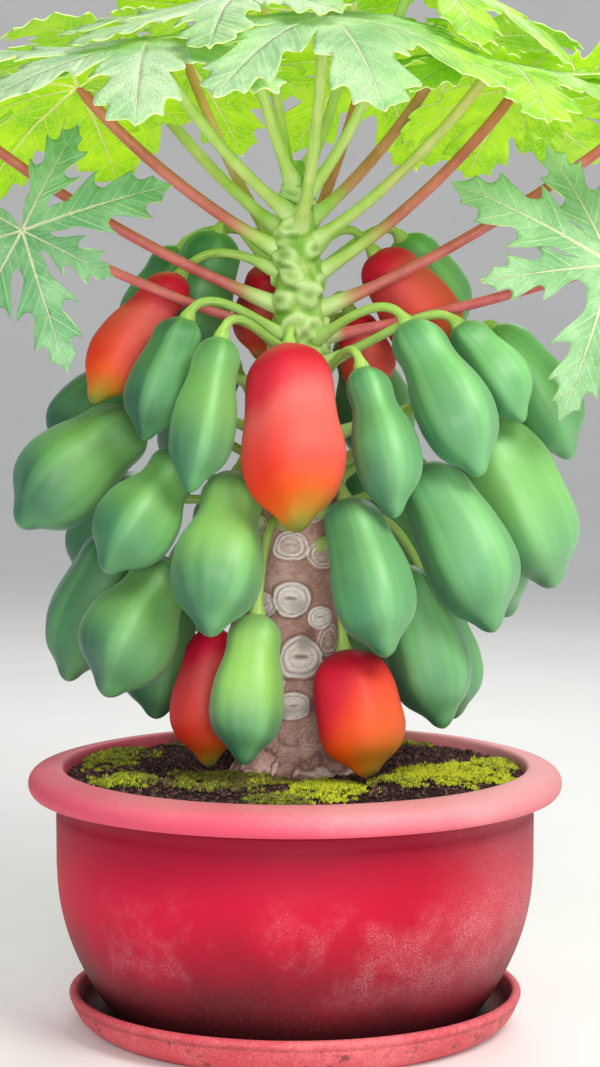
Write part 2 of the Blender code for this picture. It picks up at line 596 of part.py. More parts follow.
def settled_fruits(sticks):
    """Pushes the hanging fruits apart until none presses into another, the trunk, a petiole or the soil.

    sticks are the centres and radii of balls along the trunk and the petioles."""
    fruits = np.array(list(FRUITS.values()), dtype=float)
    count = len(fruits)
    wish_top = np.array([place(f[0], f[2], f[1]) for f in fruits])
    tilts = np.radians(fruits[:, 3])
    wish_down = np.array([outward(f[0]) for f in fruits]) * np.sin(tilts)[:, None]
    wish_down[:, 2] = -np.cos(tilts)
    tops, downs = wish_top.copy(), wish_down.copy()
    lengths = fruits[:, 4]
    shares = np.linspace(0.11, 0.92, BALLS)
    radii = fruits[:, 5:6] * (1 + FRUIT_ANGLE_DEPTH) * fruit_radius(shares, fruits[:, 6:7]) + FRUIT_CLEARANCE
    radii = radii.ravel()
    owner = np.repeat(np.arange(count), BALLS)
    apart_at_least = np.where(owner[:, None] != owner, radii[:, None] + radii, 0.0)
    near = (sticks[0][:, 2] < 0.84) & (np.hypot(sticks[0][:, 0], sticks[0][:, 1]) < 0.34)
    stick_centres, stick_radii = sticks[0][near], sticks[1][near]
    for turn in range(SETTLING_ROUNDS):
        centres = fruit_axes(tops, downs, lengths, shares)
        balls = centres.reshape(-1, 3)
        push = np.zeros_like(balls)
        squares = (balls * balls).sum(axis=1)
        apart = squares[:, None] + squares - 2 * balls @ balls.T
        first, second = np.nonzero(apart < apart_at_least**2)
        away = balls[first] - balls[second]
        gap = np.sqrt((away * away).sum(axis=1)) + 1e-9
        depth = (radii[first] + radii[second] - gap).clip(min=0.0)
        np.add.at(push, first, 0.5 * away * (depth / gap)[:, None])
        apart = squares[:, None] + (stick_centres**2).sum(axis=1) - 2 * balls @ stick_centres.T
        depth = radii[:, None] + stick_radii - np.sqrt(apart.clip(min=0.0))
        deepest = depth.argmax(axis=1)
        away = balls - stick_centres[deepest]
        gap = np.sqrt((away * away).sum(axis=1)) + 1e-9
        depth = (radii + stick_radii[deepest] - gap).clip(min=0.0)
        push += away * (depth / gap)[:, None]
        push[:, 2] += (SOIL_HEIGHT + 0.0015 + SOIL_CLEARANCE + radii - balls[:, 2]).clip(min=0.0)
        pull = SETTLING_PULL * max(0.0, 1 - turn / (0.6 * SETTLING_ROUNDS))
        push = push.reshape(count, BALLS, 3)
        middles = tops + downs * lengths[:, None] * 0.5
        arms = centres - middles[:, None, :]
        hits = (np.abs(push).sum(axis=2) > 0).sum(axis=1).clip(min=1)[:, None]
        shift = push.sum(axis=1) / hits * 0.55
        spin = np.cross(arms, push).sum(axis=1) / (hits * (lengths[:, None] * 0.4) ** 2) * 0.35
        middles = middles + shift
        downs = downs + np.cross(spin, downs) + pull * (wish_down - downs)
        downs = downs / np.sqrt((downs * downs).sum(axis=1))[:, None]
        tops = middles - downs * lengths[:, None] * 0.5
        tops = tops + pull * (wish_top - tops)
    return tops, downs, fruit_axes(tops, downs, lengths, shares), radii.reshape(count, BALLS)


def fruit_body(top, down, fruit):
    """Rings round the bowed axis, a little five-angled, closed at the stalk end and the tip."""
    length, radius, neck = fruit[4], fruit[5], fruit[6]
    side = unit(np.cross(down, np.array((0.0, 0.0, 1.0))) + outward(fruit[0]) * 1e-6)
    other = np.cross(down, side)
    shares = np.array((0.0, *FRUIT_RINGS, 1.0))
    axis = fruit_axes(top[None, :], down[None, :], np.array([length]), shares)[0]
    points = [axis[0]]
    for centre, share in zip(axis[1:-1], FRUIT_RINGS):
        for k in range(FRUIT_SIDES):
            turn = 2 * math.pi * k / FRUIT_SIDES
            angle = 1 + FRUIT_ANGLE_DEPTH * math.cos(FRUIT_ANGLES * turn)
            wide = radius * fruit_radius(share, neck) * angle
            points.append(centre + wide * (math.cos(turn) * side + math.sin(turn) * other))
    points.append(axis[-1])
    end = len(points) - 1
    faces = []
    for k in range(FRUIT_SIDES):
        after = (k + 1) % FRUIT_SIDES
        faces.append((0, 1 + k, 1 + after))
        last = 1 + (len(FRUIT_RINGS) - 1) * FRUIT_SIDES
        faces.append((end, last + after, last + k))
        for ring in range(len(FRUIT_RINGS) - 1):
            near, far = 1 + ring * FRUIT_SIDES, 1 + (ring + 1) * FRUIT_SIDES
            faces.append((near + k, far + k, far + after, near + after))
    return points, faces


def stalk_path(top, down, azimuth, height, arch, count):
    """From the trunk's middle, out and over, and down into the fruit's stalk end."""
    start = trunk_centre(height)
    edge = start + outward(azimuth) * trunk_radius(height)
    run = top - edge
    length = max(0.02, math.sqrt((run * run).sum()))
    leave = edge + outward(azimuth) * length * 0.45 + np.array((0.0, 0.0, arch))
    above = top - down * (0.012 + arch)
    curve = bezier(edge, leave, above, top, count - 2)
    return np.concatenate([[start], curve, [top + down * STALK_SINK]])


def stalk_points(top, down, way):
    """Points along the free stretch of a stalk, between the trunk's bark and the fruit."""
    return np.array(spread(stalk_path(top, down, *way, STALK_RINGS + 2)[1:-1], 7)[1:])


def grown_stalks(tops, downs, balls, radii, sticks):
    """Each stalk takes the first of its ways to the trunk that is clear, or else the clearest."""
    ways = [(swing, rise, arch) for arch in STALK_ARCHES for rise in STALK_RISES for swing in STALK_SWINGS]
    costs = [abs(s) / 60 + abs(r) / 0.06 + abs(a - STALK_ARCHES[0]) / 0.05 for s, r, a in ways]
    order = sorted(range(len(ways)), key=lambda i: costs[i])
    taken_centres, taken_radii = [sticks[0]], [sticks[1]]
    chosen = []
    for own, (top, down) in enumerate(zip(tops, downs)):
        others = [i for i in range(len(tops)) if i != own]
        centres = np.concatenate([balls[others].reshape(-1, 3)] + taken_centres)
        widths = np.concatenate([radii[others].ravel()] + taken_radii)
        close = ((centres - top) ** 2).sum(axis=1) < 0.30**2
        centres, widths = centres[close], widths[close]
        azimuth = math.degrees(math.atan2(top[1], top[0]))
        lift = np.interp(top[2], (0.36, 0.40, 0.50), (0.115, 0.075, -0.015))
        best = None
        for i in order:
            if best and STALK_CLEARANCE * 1000 - 0.1 * costs[i] <= best[0]:
                break
            swing, rise, arch = ways[i]
            way = (azimuth + swing, top[2] + rise + lift, arch)
            away = stalk_points(top, down, way)[:, None, :] - centres
            room = (np.sqrt((away**2).sum(axis=2)) - widths).min() - STALK_RADIUS
            score = min(room, STALK_CLEARANCE) * 1000 - 0.1 * costs[i]
            if best is None or score > best[0]:
                best = (score, way)
        chosen.append(best[1])
        path = stalk_points(top, down, best[1])
        taken_centres.append(path)
        taken_radii.append(np.full(len(path), STALK_RADIUS))
    return chosen


def trunk_balls():
    """Balls that fill the trunk, for the fruits to keep clear of."""
    heights = [TRUNK_FOOT + (TRUNK_TIP - TRUNK_FOOT) * i / 59 for i in range(60)]
    radii = [trunk_radius(height) + 0.002 for height in heights]
    return np.array([trunk_centre(height) for height in heights]), np.array(radii)


def petiole_balls():
    """Balls along every petiole, for the fruits and their stalks to keep clear of."""
    centres, radii = [], []
    for leaf in LEAVES.values():
        path, widths = petiole_path(leaf, PETIOLE_RINGS), petiole_radii(leaf, PETIOLE_RINGS)
        centres += spread(path, 7)
        radii += [max(widths[i // 7], widths[i // 7 + 1]) + 0.0015 for i in range(7 * (len(path) - 1))]
    return np.array(centres), np.array(radii)


def main():
    clear_scene()
    turned("saucer", saucer_profile(), TURNED_STEPS, "terracotta")
    turned("pot", pot_profile(), TURNED_STEPS, "terracotta")
    turned("soil", soil_profile(), TURNED_STEPS, "soil")
    stem = trunk("trunk")
    around_trunk = trunk("trunk_cutter", GAP)
    stem_shape = (
        [tuple(v.co) for v in stem.data.vertices],
        [tuple(p.vertices) for p in stem.data.polygons],
    )

    bole, petiole_sticks = trunk_balls(), petiole_balls()
    sticks = [np.concatenate(pair) for pair in zip(bole, petiole_sticks)]
    tops, downs, balls, radii = settled_fruits(sticks)
    ways = grown_stalks(tops, downs, balls, radii, petiole_sticks)
    shapes = [stem_shape]
    for (name, fruit), top, down, way in zip(FRUITS.items(), tops, downs, ways):
        body = fruit_body(top, down, fruit)
        path = stalk_path(top, down, *way, STALK_RINGS + 2)
        stalk = tube(path, [STALK_RADIUS * 1.25] + [STALK_RADIUS] * (len(path) - 1), STALK_SIDES)
        whole = add_object(name, *body, "ripe_fruit" if fruit[7] > 0.5 else "green_fruit")
        joined(whole, [add_object(name + "_stalk", *stalk, "leaf")], around_trunk)
        shapes += [body, stalk]

    petioles = {
        name: tube(petiole_path(leaf, PETIOLE_RINGS), petiole_radii(leaf, PETIOLE_RINGS), PETIOLE_SIDES)
        for name, leaf in LEAVES.items()
    }
    webs = {name: blade(name, full_lobes(name), BLADE_THICKNESS, web_only=True) for name in LEAVES}
    for name in LEAVES:
        webs.pop(name)
        others = [petiole for other, petiole in petioles.items() if other != name]
        lobes = fitted_lobes(name, tree_of(shapes + others + list(webs.values())))
        whole_blade = blade(name, lobes, BLADE_THICKNESS)
        shapes.append(whole_blade)
        whole = add_object(name, *whole_blade, "leaf")
        joined(whole, [add_object(name + "_petiole", *petioles[name], "leaf")], around_trunk)
    bpy.data.objects.remove(around_trunk)


main()
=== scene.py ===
"""A dwarf papaya tree in a red bowl pot on its saucer.

Lengths are in metres and +Z is up. The front of the tree faces -Y. Azimuths are in degrees from +X,
anticlockwise seen from above, so 270 is the front, 180 the left and 0 the right.
"""

import math
import random
import bpy
import numpy as np
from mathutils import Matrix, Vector, noise
from mathutils.kdtree import KDTree


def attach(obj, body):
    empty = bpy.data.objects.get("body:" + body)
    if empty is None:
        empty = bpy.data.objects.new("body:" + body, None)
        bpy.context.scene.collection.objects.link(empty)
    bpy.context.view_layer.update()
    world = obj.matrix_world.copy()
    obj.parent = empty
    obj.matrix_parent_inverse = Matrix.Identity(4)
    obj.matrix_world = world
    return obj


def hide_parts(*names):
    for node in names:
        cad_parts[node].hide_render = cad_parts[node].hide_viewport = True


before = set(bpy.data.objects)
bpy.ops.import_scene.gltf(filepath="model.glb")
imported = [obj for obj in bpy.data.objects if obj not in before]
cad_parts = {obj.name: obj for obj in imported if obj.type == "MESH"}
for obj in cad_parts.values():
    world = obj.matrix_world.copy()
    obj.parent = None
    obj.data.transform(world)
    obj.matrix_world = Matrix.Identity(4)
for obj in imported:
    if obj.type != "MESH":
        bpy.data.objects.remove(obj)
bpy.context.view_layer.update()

# Saucer
# A shallow dish of red clay with a rounded lip, turned on a wheel and left unglazed.
# It stands flat on the floor. Its inside is darker than its lip and outside, darkest round the pot's foot,
# with crusts of spilt soil.


class Wire:
    """A socket in a material. Arithmetic on it adds Math nodes to that material."""

    def __init__(self, tree, socket=None):
        self.tree = tree
        self.socket = socket

    def node(self, kind, sockets, output=0, stops=(), **settings):
        """Adds a node with its settings and ramp stops, then gives its sockets their values or wires."""
        made = self.tree.nodes.new("ShaderNode" + kind)
        for setting, value in settings.items():
            setattr(made, setting, value)
        for index, (position, colour) in enumerate(stops):
            ramp = made.color_ramp.elements
            stop = ramp[index] if index < 2 else ramp.new(position)
            stop.position = position
            stop.color = colour
        for key, value in sockets.items():
            if isinstance(value, Wire):
                self.tree.links.new(value.socket, made.inputs[key])
            else:
                made.inputs[key].default_value = value
        return Wire(self.tree, made.outputs[output])

    def maths(self, operation, first, second=0.0):
        return self.node("Math", {0: first, 1: second}, operation=operation)

    def __add__(self, other):
        return self.maths("ADD", self, other)

    def __sub__(self, other):
        return self.maths("SUBTRACT", self, other)

    def __rsub__(self, other):
        return self.maths("SUBTRACT", other, self)

    def __mul__(self, other):
        return self.maths("MULTIPLY", self, other)

    def __truediv__(self, other):
        return self.maths("DIVIDE", self, other)

    def __pow__(self, other):
        return self.maths("POWER", self, other)

    __radd__ = __add__
    __rmul__ = __mul__

    def most(self, other):
        return self.maths("MAXIMUM", self, other)

    def least(self, other):
        return self.maths("MINIMUM", self, other)

    def size(self):
        return self.maths("ABSOLUTE", self)

    def waves(self):
        return self.maths("SINE", self)

    def between(self, low, high):
        """0 below low, 1 above high, and a smooth step from one to the other."""
        ends = {"Value": self, "From Min": low, "From Max": high}
        return self.node("MapRange", ends, interpolation_type="SMOOTHSTEP")

    def mix(self, colour, other):
        """From one colour to another, by this amount."""
        return self.node("Mix", {0: self, 6: colour, 7: other}, output=2, data_type="RGBA")

    def place(self):
        """Where a point is on the whole tree."""
        return self.node("TexCoord", {}, output="Object")

    def part(self, axis):
        """One number out of a vector."""
        return self.node("SeparateXYZ", {0: self}, output=axis)

    def scaled(self, x, y, z):
        return self.node("Mapping", {"Vector": self, "Scale": (x, y, z)})

    def speckle(self, scale, detail=2.0, roughness=0.5):
        """Cloudy noise from about 0.2 to 0.8, scale clouds to the metre."""
        sockets = {"Vector": self, "Scale": scale, "Detail": detail, "Roughness": roughness}
        return self.node("TexNoise", sockets)

    def cells(self, scale):
        """Distance to the nearest edge between the cells round many scattered points."""
        return self.node("TexVoronoi", {"Vector": self, "Scale": scale}, feature="DISTANCE_TO_EDGE")

    def mark(self, name):
        """A number painted on the points of a piece."""
        return self.node("Attribute", {}, output="Fac", attribute_name=name)


def tint(red, green, blue):
    """A colour picked on a screen, as light."""
    channels = [value / 255 for value in (red, green, blue)]
    return tuple(c / 12.92 if c < 0.04045 else ((c + 0.055) / 1.055) ** 2.4 for c in channels) + (1.0,)


def new_finish(name, **constants):
    """A material whose shader has these constants, and a wire to build on."""
    finish = bpy.data.materials.new(name)
    finish.use_nodes = True
    shader = finish.node_tree.nodes["Principled BSDF"]
    for key, value in constants.items():
        shader.inputs[key.replace("_", " ")].default_value = value
    return finish, Wire(finish.node_tree)


def lay_on(finish, colour, roughness, height=None, depth=0.001):
    """Wires a colour, a roughness and a relief of so many metres into a finish."""
    tree = finish.node_tree
    shader = tree.nodes["Principled BSDF"]
    tree.links.new(colour.socket, shader.inputs["Base Color"])
    if isinstance(roughness, Wire):
        tree.links.new(roughness.socket, shader.inputs["Roughness"])
    else:
        shader.inputs["Roughness"].default_value = roughness
    if height is not None:
        relief = height.node("Bump", {"Height": height, "Distance": depth, "Strength": 1.0})
        tree.links.new(relief.socket, shader.inputs["Normal"])


def arc(centre_x, centre_z, radius_x, radius_z, start, end, count):
    """Profile points on part of an ellipse, from start to end in degrees."""
    turns = [math.radians(start + (end - start) * i / (count - 1)) for i in range(count)]
    return [(centre_x + radius_x * math.cos(t), centre_z + radius_z * math.sin(t)) for t in turns]


def turned(name, profile, steps, sharp=40):
    """A turned piece: a small disc is drawn out along the profile, ring after ring, as on a wheel."""
    bpy.ops.object.select_all(action="DESELECT")
    radius, height = profile[0]
    bpy.ops.mesh.primitive_circle_add(
        vertices=steps, radius=radius, fill_type="NGON", location=(0.0, 0.0, height)
    )
    piece = bpy.context.object
    piece.name = name
    piece.data.name = name
    bpy.ops.object.mode_set(mode="EDIT")
    for next_radius, next_height in profile[1:]:
        bpy.ops.mesh.extrude_region_move(
            TRANSFORM_OT_translate={"value": (0.0, 0.0, next_height - height)}
        )
        grow = next_radius / radius
        bpy.ops.transform.resize(value=(grow, grow, 1.0))
        radius, height = next_radius, next_height
    bpy.ops.mesh.select_all(action="SELECT")
    bpy.ops.mesh.normals_make_consistent(inside=False)
    bpy.ops.object.mode_set(mode="OBJECT")
    bpy.ops.object.transform_apply(location=True, rotation=True, scale=True)
    bpy.ops.object.shade_smooth_by_angle(angle=math.radians(sharp))
    return piece


def belongs(piece, finishes, slot, *nodes):
    """Gives a piece its finishes, and puts it on the tree in the place of its nodes."""
    for finish in finishes:
        piece.data.materials.append(finish)
    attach(piece, "root")
    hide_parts(*nodes)


SAUCER_FLOOR = 0.010
SAUCER_RADIUS = 0.213
SAUCER_HEIGHT = 0.036
SAUCER_WALL = 0.009
SAUCER_SIDES = 144

lip_radius = SAUCER_RADIUS - SAUCER_WALL / 2
lip_height = SAUCER_HEIGHT - SAUCER_WALL / 2
# Radius and height: out from the middle of the floor, up the wall, over the lip and back under to the foot
saucer_profile = [(0.002, SAUCER_FLOOR), (0.150, SAUCER_FLOOR)]
saucer_profile += arc(0.182, 0.024, 0.0185, 0.014, 270, 340, 7)
saucer_profile += arc(lip_radius, lip_height, SAUCER_WALL / 2, SAUCER_WALL / 2, 180, -20, 11)
saucer_profile += [(0.2085, 0.020), (0.2040, 0.0125), (0.1965, 0.0055), (0.1890, 0.0008), (0.1870, 0.0)]
saucer_profile += [(0.150, 0.0), (0.002, 0.0)]
saucer = turned("saucer_dish", saucer_profile, SAUCER_SIDES)

saucer_clay, clay = new_finish("saucer_clay", Specular_IOR_Level=0.35)
spot = clay.place()
grain = spot.speckle(420, 3)
clouds = spot.speckle(14, 4, 0.6)
height = spot.part("Z")
reach = (spot.part("X") ** 2 + spot.part("Y") ** 2) ** 0.5
lip = (height + (clouds - 0.5) * 0.010).between(0.022, 0.033)
worn = (clouds * 0.6 + grain * 0.5).between(0.44, 0.74)
clay_red = worn.mix(tint(206, 74, 84), tint(230, 120, 124))
# The outside of the wall, which leans outwards, is the same red as the lip; the rest of the dish is darker
outside = (reach - height * 0.98 - 0.1845).between(-0.002, 0.002)
shade = lip.most(outside).mix(tint(104, 42, 42), clay_red)
# Darker still from just outside the pot's foot inwards
outer_reach = (reach + (clouds - 0.5) * 0.03).between(0.176, 0.196)
shade = (1 - outer_reach).mix(shade, tint(44, 27, 25))
crust = spot.speckle(46, 5, 0.7).between(0.56, 0.64) * (1 - lip) * 0.7
shade = crust.mix(shade, tint(70, 46, 38))
lay_on(saucer_clay, shade, 0.62 + (grain - 0.5) * 0.25, grain * 0.5 + clouds * 0.8, 0.0006)
belongs(saucer, [saucer_clay], "saucer_clay", "saucer")

# Pot
# A wide bowl of the same clay, slip-coated crimson, with a rolled rim that stands out over the neck.
# Its base has gone maroon with damp, and dry salts bloom in pale speckles across the belly.

POT_FOOT = 0.0103
POT_FOOT_RADIUS = 0.165
POT_FLOOR = 0.0223
POT_WALL = 0.010
POT_BELLY_RADIUS = 0.2235
POT_BELLY_HEIGHT = 0.150
POT_NECK_RADIUS = 0.2240
POT_RIM_RADIUS = 0.250
POT_RIM_INNER_RADIUS = 0.2165
POT_RIM_HEIGHT = 0.247
POT_RIM_DEPTH = 0.027
POT_WALL_STEPS = 12
POT_OUTSIDE_STEPS = 20
POT_SIDES = 160


def pot_outside(height):
    """Radius of the bowl's outside: it swells from the foot to the belly, and rises plumb to the neck."""
    share = min(1.0, (height - POT_FOOT) / (POT_BELLY_HEIGHT - POT_FOOT))
    return POT_FOOT_RADIUS + (POT_BELLY_RADIUS - POT_FOOT_RADIUS) * math.sin(share * math.pi / 2) ** 0.75


pot_neck = POT_RIM_HEIGHT - POT_RIM_DEPTH
wall_steps = [
    POT_FLOOR + (pot_neck - POT_FLOOR) * i / POT_WALL_STEPS for i in range(1, POT_WALL_STEPS)
]
# Radius and height: up the inside, round the rolled rim, into the hollow under it and down to the foot
pot_profile = [(0.002, POT_FLOOR), (pot_outside(POT_FLOOR) - POT_WALL - 0.012, POT_FLOOR)]
pot_profile += [(pot_outside(z) - POT_WALL, z) for z in wall_steps]
pot_profile += [(POT_NECK_RADIUS - POT_WALL, pot_neck), (POT_RIM_INNER_RADIUS, POT_RIM_HEIGHT - 0.006)]
pot_profile += arc(POT_RIM_INNER_RADIUS + 0.0042, POT_RIM_HEIGHT - 0.0048, 0.0040, 0.0046, 170, 90, 5)
pot_profile += [(0.2275, POT_RIM_HEIGHT - 0.0006), (0.2345, POT_RIM_HEIGHT - 0.0022)]
pot_profile += arc(POT_RIM_RADIUS - 0.0125, POT_RIM_HEIGHT - 0.0160, 0.0125, 0.0125, 72, -48, 13)
pot_profile += [(0.2412, pot_neck + 0.0018), (0.2340, pot_neck - 0.0004), (0.2285, pot_neck - 0.0018)]
pot_profile += [(0.2243, pot_neck - 0.0040), (0.2226, pot_neck - 0.0085), (0.2224, pot_neck - 0.0140)]
pot_profile += [(0.2232, pot_neck - 0.0165), (0.2240, pot_neck - 0.0195), (0.2241, pot_neck - 0.0240)]
outside_steps = [
    pot_neck - 0.030 - (pot_neck - 0.030 - 0.016) * i / POT_OUTSIDE_STEPS
    for i in range(POT_OUTSIDE_STEPS + 1)
]
pot_profile += [(pot_outside(z) + 0.0005 * (z > POT_BELLY_HEIGHT), z) for z in outside_steps]
pot_profile += [(POT_FOOT_RADIUS + 0.0055, 0.0122), (POT_FOOT_RADIUS + 0.0010, 0.0105)]
pot_profile += [(POT_FOOT_RADIUS - 0.0030, POT_FOOT), (0.002, POT_FOOT)]
pot = turned("pot_bowl", pot_profile, POT_SIDES)

pot_clay, clay = new_finish("pot_clay", Specular_IOR_Level=0.20)
spot = clay.place()
height = spot.part("Z")
side = spot.part("X")
grain = spot.speckle(520, 3)
clouds = spot.speckle(9, 4, 0.55)
patches = spot.speckle(26, 4, 0.6)
damp = 1 - (height + (clouds - 0.5) * 0.080 + (grain - 0.5) * 0.016).between(0.026, 0.160)
crimson = (clouds * 0.6 + height * 2.0 - side * 0.8).between(0.35, 0.90)
shade = crimson.mix(tint(186, 6, 44), tint(212, 14, 60))
# Painted shadow: the wall under the rim is painted a deeper crimson
painted_rim_shadow = (height + (clouds - 0.5) * 0.03).between(0.135, 0.222)
shade = (painted_rim_shadow * 0.80).mix(shade, tint(124, 4, 32))
shade = (damp * 0.94).mix(shade, tint(70, 26, 31))
rim = (height + (grain - 0.5) * 0.002).between(0.2185, 0.2215)
# The rim's top is paler towards the right: partly rubbed wear, partly a painted highlight
rim_wear_and_highlight = (clouds * 0.4 + grain * 0.2 + height * 12.0 + side * 0.8 - 2.72).between(0.20, 0.70)
shade = rim.mix(shade, rim_wear_and_highlight.mix(tint(224, 84, 108), tint(230, 156, 158)))
band = height.between(0.045, 0.100) * (1 - height.between(0.120, 0.180))
salts = (clouds * 0.45 + patches * 0.55 + side * 0.35).between(0.46, 0.66)
powder = spot.speckle(900, 2, 0.6).between(0.40, 0.66)
shade = (salts * band * powder * 0.42).mix(shade, tint(230, 170, 176))
scuffs = (side + (clouds - 0.5) * 0.12).between(0.090, 0.215) * height.between(0.05, 0.12)
shade = (scuffs * (1 - rim) * (0.10 + powder * 0.24)).mix(shade, tint(230, 150, 156))
mud = damp * spot.speckle(240, 3, 0.8).between(0.52, 0.68) * 0.35
shade = mud.mix(shade, tint(104, 76, 62))
rings = spot.scaled(0.05, 0.05, 1.0).speckle(150, 3, 0.6)
lay_on(pot_clay, shade, 0.52 + (clouds - 0.5) * 0.3, grain * 0.35 + rings * 0.4 + clouds * 0.4, 0.0006)
belongs(pot, [pot_clay], "pot_clay", "pot")

# Trunk
# A stout stem with no branches, grown from seed: grey-brown and woody below, still green at the crown.
# Each fallen leaf has left an oval scar with rings in it, and the foot spreads in rough plates.

TRUNK_FOOT = 0.2403
TRUNK_TIP = 0.808
# Height and radius: a flare at the foot, a stout stem, and a taper through the crown
TRUNK_TAPER = (
    (0.240, 0.059), (0.252, 0.051), (0.275, 0.0455), (0.35, 0.043), (0.50, 0.0380),
    (0.62, 0.0272), (0.66, 0.0240), (0.71, 0.0218), (0.745, 0.0180), (0.78, 0.014), (0.808, 0.0075),
)
FLARE_RIDGE = 0.10
FLARE_RIDGES = 5
FLARE_HEIGHT = 0.022
TRUNK_LEAN = 0.006
BARK_SIDES = 210
BARK_RINGS = 380
BARK_FOOT = 0.233
GREEN_FROM = 0.590
# Scars and knobs that climb the stem in one spiral, where no named one is near
SPIRAL_TURN = 137.5
SPIRAL_SCARS = 64
SPIRAL_KNOBS = 60
BARK_PER_DEGREE = 0.00075
SCAR_ROOM_ACROSS = 0.021
SCAR_ROOM_UP = 0.024
KNOB_ROOM_DEGREES = 38
KNOB_ROOM_UP = 0.016
RUFFLE = 0.0013

# Scars that face the front: azimuth, height, half width, half height, and how plain they are
FRONT_SCARS = (
    (261, 0.405, 0.0180, 0.0165, 1.0), (299, 0.388, 0.0125, 0.0105, 0.8),
    (275, 0.352, 0.0205, 0.0195, 1.0), (268, 0.307, 0.0150, 0.0130, 0.95),
    (258, 0.455, 0.0175, 0.0140, 0.6), (303, 0.446, 0.0160, 0.0140, 0.5),
    (314, 0.366, 0.0150, 0.0160, 0.45), (238, 0.330, 0.0150, 0.0130, 0.5),
    (286, 0.487, 0.0160, 0.0120, 0.45), (245, 0.498, 0.0150, 0.0120, 0.4),
)
# Scars on the green stem under the crown: azimuth, height and size
GREEN_SCARS = (
    (256, 0.748, 0.0085), (238, 0.722, 0.0090), (318, 0.728, 0.0090), (252, 0.704, 0.0115),
    (292, 0.686, 0.0125), (226, 0.680, 0.0095), (262, 0.658, 0.0110), (302, 0.655, 0.0105),
    (292, 0.762, 0.0070), (332, 0.695, 0.0095),
)


def outward(azimuth):
    turn = math.radians(azimuth)
    return np.array((math.cos(turn), math.sin(turn), 0.0))


def trunk_centre(height):
    """The trunk bows a little to the right halfway up."""
    share = (height - TRUNK_FOOT) / (TRUNK_TIP - TRUNK_FOOT)
    return np.array((TRUNK_LEAN * (math.sin(math.pi * share) - 0.4 * (1 - share)), 0.0, height))


def trunk_radius(height):
    heights, radii = zip(*TRUNK_TAPER)
    return np.interp(height, heights, radii)


def smooth_step(values):
    values = np.clip(values, 0.0, 1.0)
    return values * values * (3 - 2 * values)


def hump(values, middle, width):
    """1 at the middle, and falling smoothly towards 0 on both sides of it."""
    return np.exp(-(((values - middle) / width) ** 2))


def full_turn(count):
    """Angles spread evenly over one turn."""
    return np.linspace(0, 2 * math.pi, count, endpoint=False)


def lattice(rows, columns):
    """Every row value with every column value, as two flat arrays."""
    return [grid.ravel() for grid in np.meshgrid(rows, columns, indexing="ij")]


def rough(points, scale, seed, stretch=1.0):
    """Smooth noise from about -1 to 1 at each of many points."""
    drift = Vector((seed * 7.3, seed * 3.1, seed * 5.7))
    rows = points * np.array((scale, scale, scale * stretch))
    return np.array([noise.noise(Vector(row) + drift) for row in rows])


def add_marks(piece, **marks):
    """Paints numbers on the points of a piece, each mark as one number for all or one for each."""
    count = len(piece.data.vertices)
    for mark, values in marks.items():
        layer = piece.data.attributes.new(mark, "FLOAT", "POINT")
        layer.data.foreach_set("value", np.broadcast_to(values, count).astype(np.float32))


def new_piece(name, points, faces, corners=None, **marks):
    """A smooth mesh from points and faces, with flat coordinates for each corner and marks on its points."""
    mesh = bpy.data.meshes.new(name)
    mesh.from_pydata(np.asarray(points).tolist(), [], faces)
    if corners is not None:
        layer = mesh.uv_layers.new(name="UVMap")
        layer.data.foreach_set("uv", np.asarray(corners, dtype=np.float32).ravel())
    mesh.shade_smooth()
    piece = bpy.data.objects.new(name, mesh)
    add_marks(piece, **marks)
    bpy.context.scene.collection.objects.link(piece)
    return piece


def rolled(rings, sides):
    """Faces and flat coordinates of rings of points rolled into a tube, its two ends closed by fans.

    The middles of the two fans are the last two points of the tube."""
    faces, corners = [], []
    for i in range(rings - 1):
        for k in range(sides):
            after = (k + 1) % sides
            faces.append((i * sides + k, i * sides + after, (i + 1) * sides + after, (i + 1) * sides + k))
            left, right = k / sides, (k + 1) / sides
            low, high = i / (rings - 1), (i + 1) / (rings - 1)
            corners += [(left, low), (right, low), (right, high), (left, high)]
    top = (rings - 1) * sides
    first, last = rings * sides, rings * sides + 1
    for k in range(sides):
        after = (k + 1) % sides
        left, middle, right = k / sides, (k + 0.5) / sides, (k + 1) / sides
        faces.append((first, after, k))
        corners += [(middle, 0.0), (right, 0.0), (left, 0.0)]
        faces.append((last, top + k, top + after))
        corners += [(middle, 1.0), (left, 1.0), (right, 1.0)]
    return faces, corners


def degrees_apart(first, second):
    return abs((first - second + 180) % 360 - 180)


def round_from(azimuth, angle):
    """How far round the trunk an angle lies from an azimuth, from -pi to pi."""
    return (angle - math.radians(azimuth) + math.pi) % (2 * math.pi) - math.pi


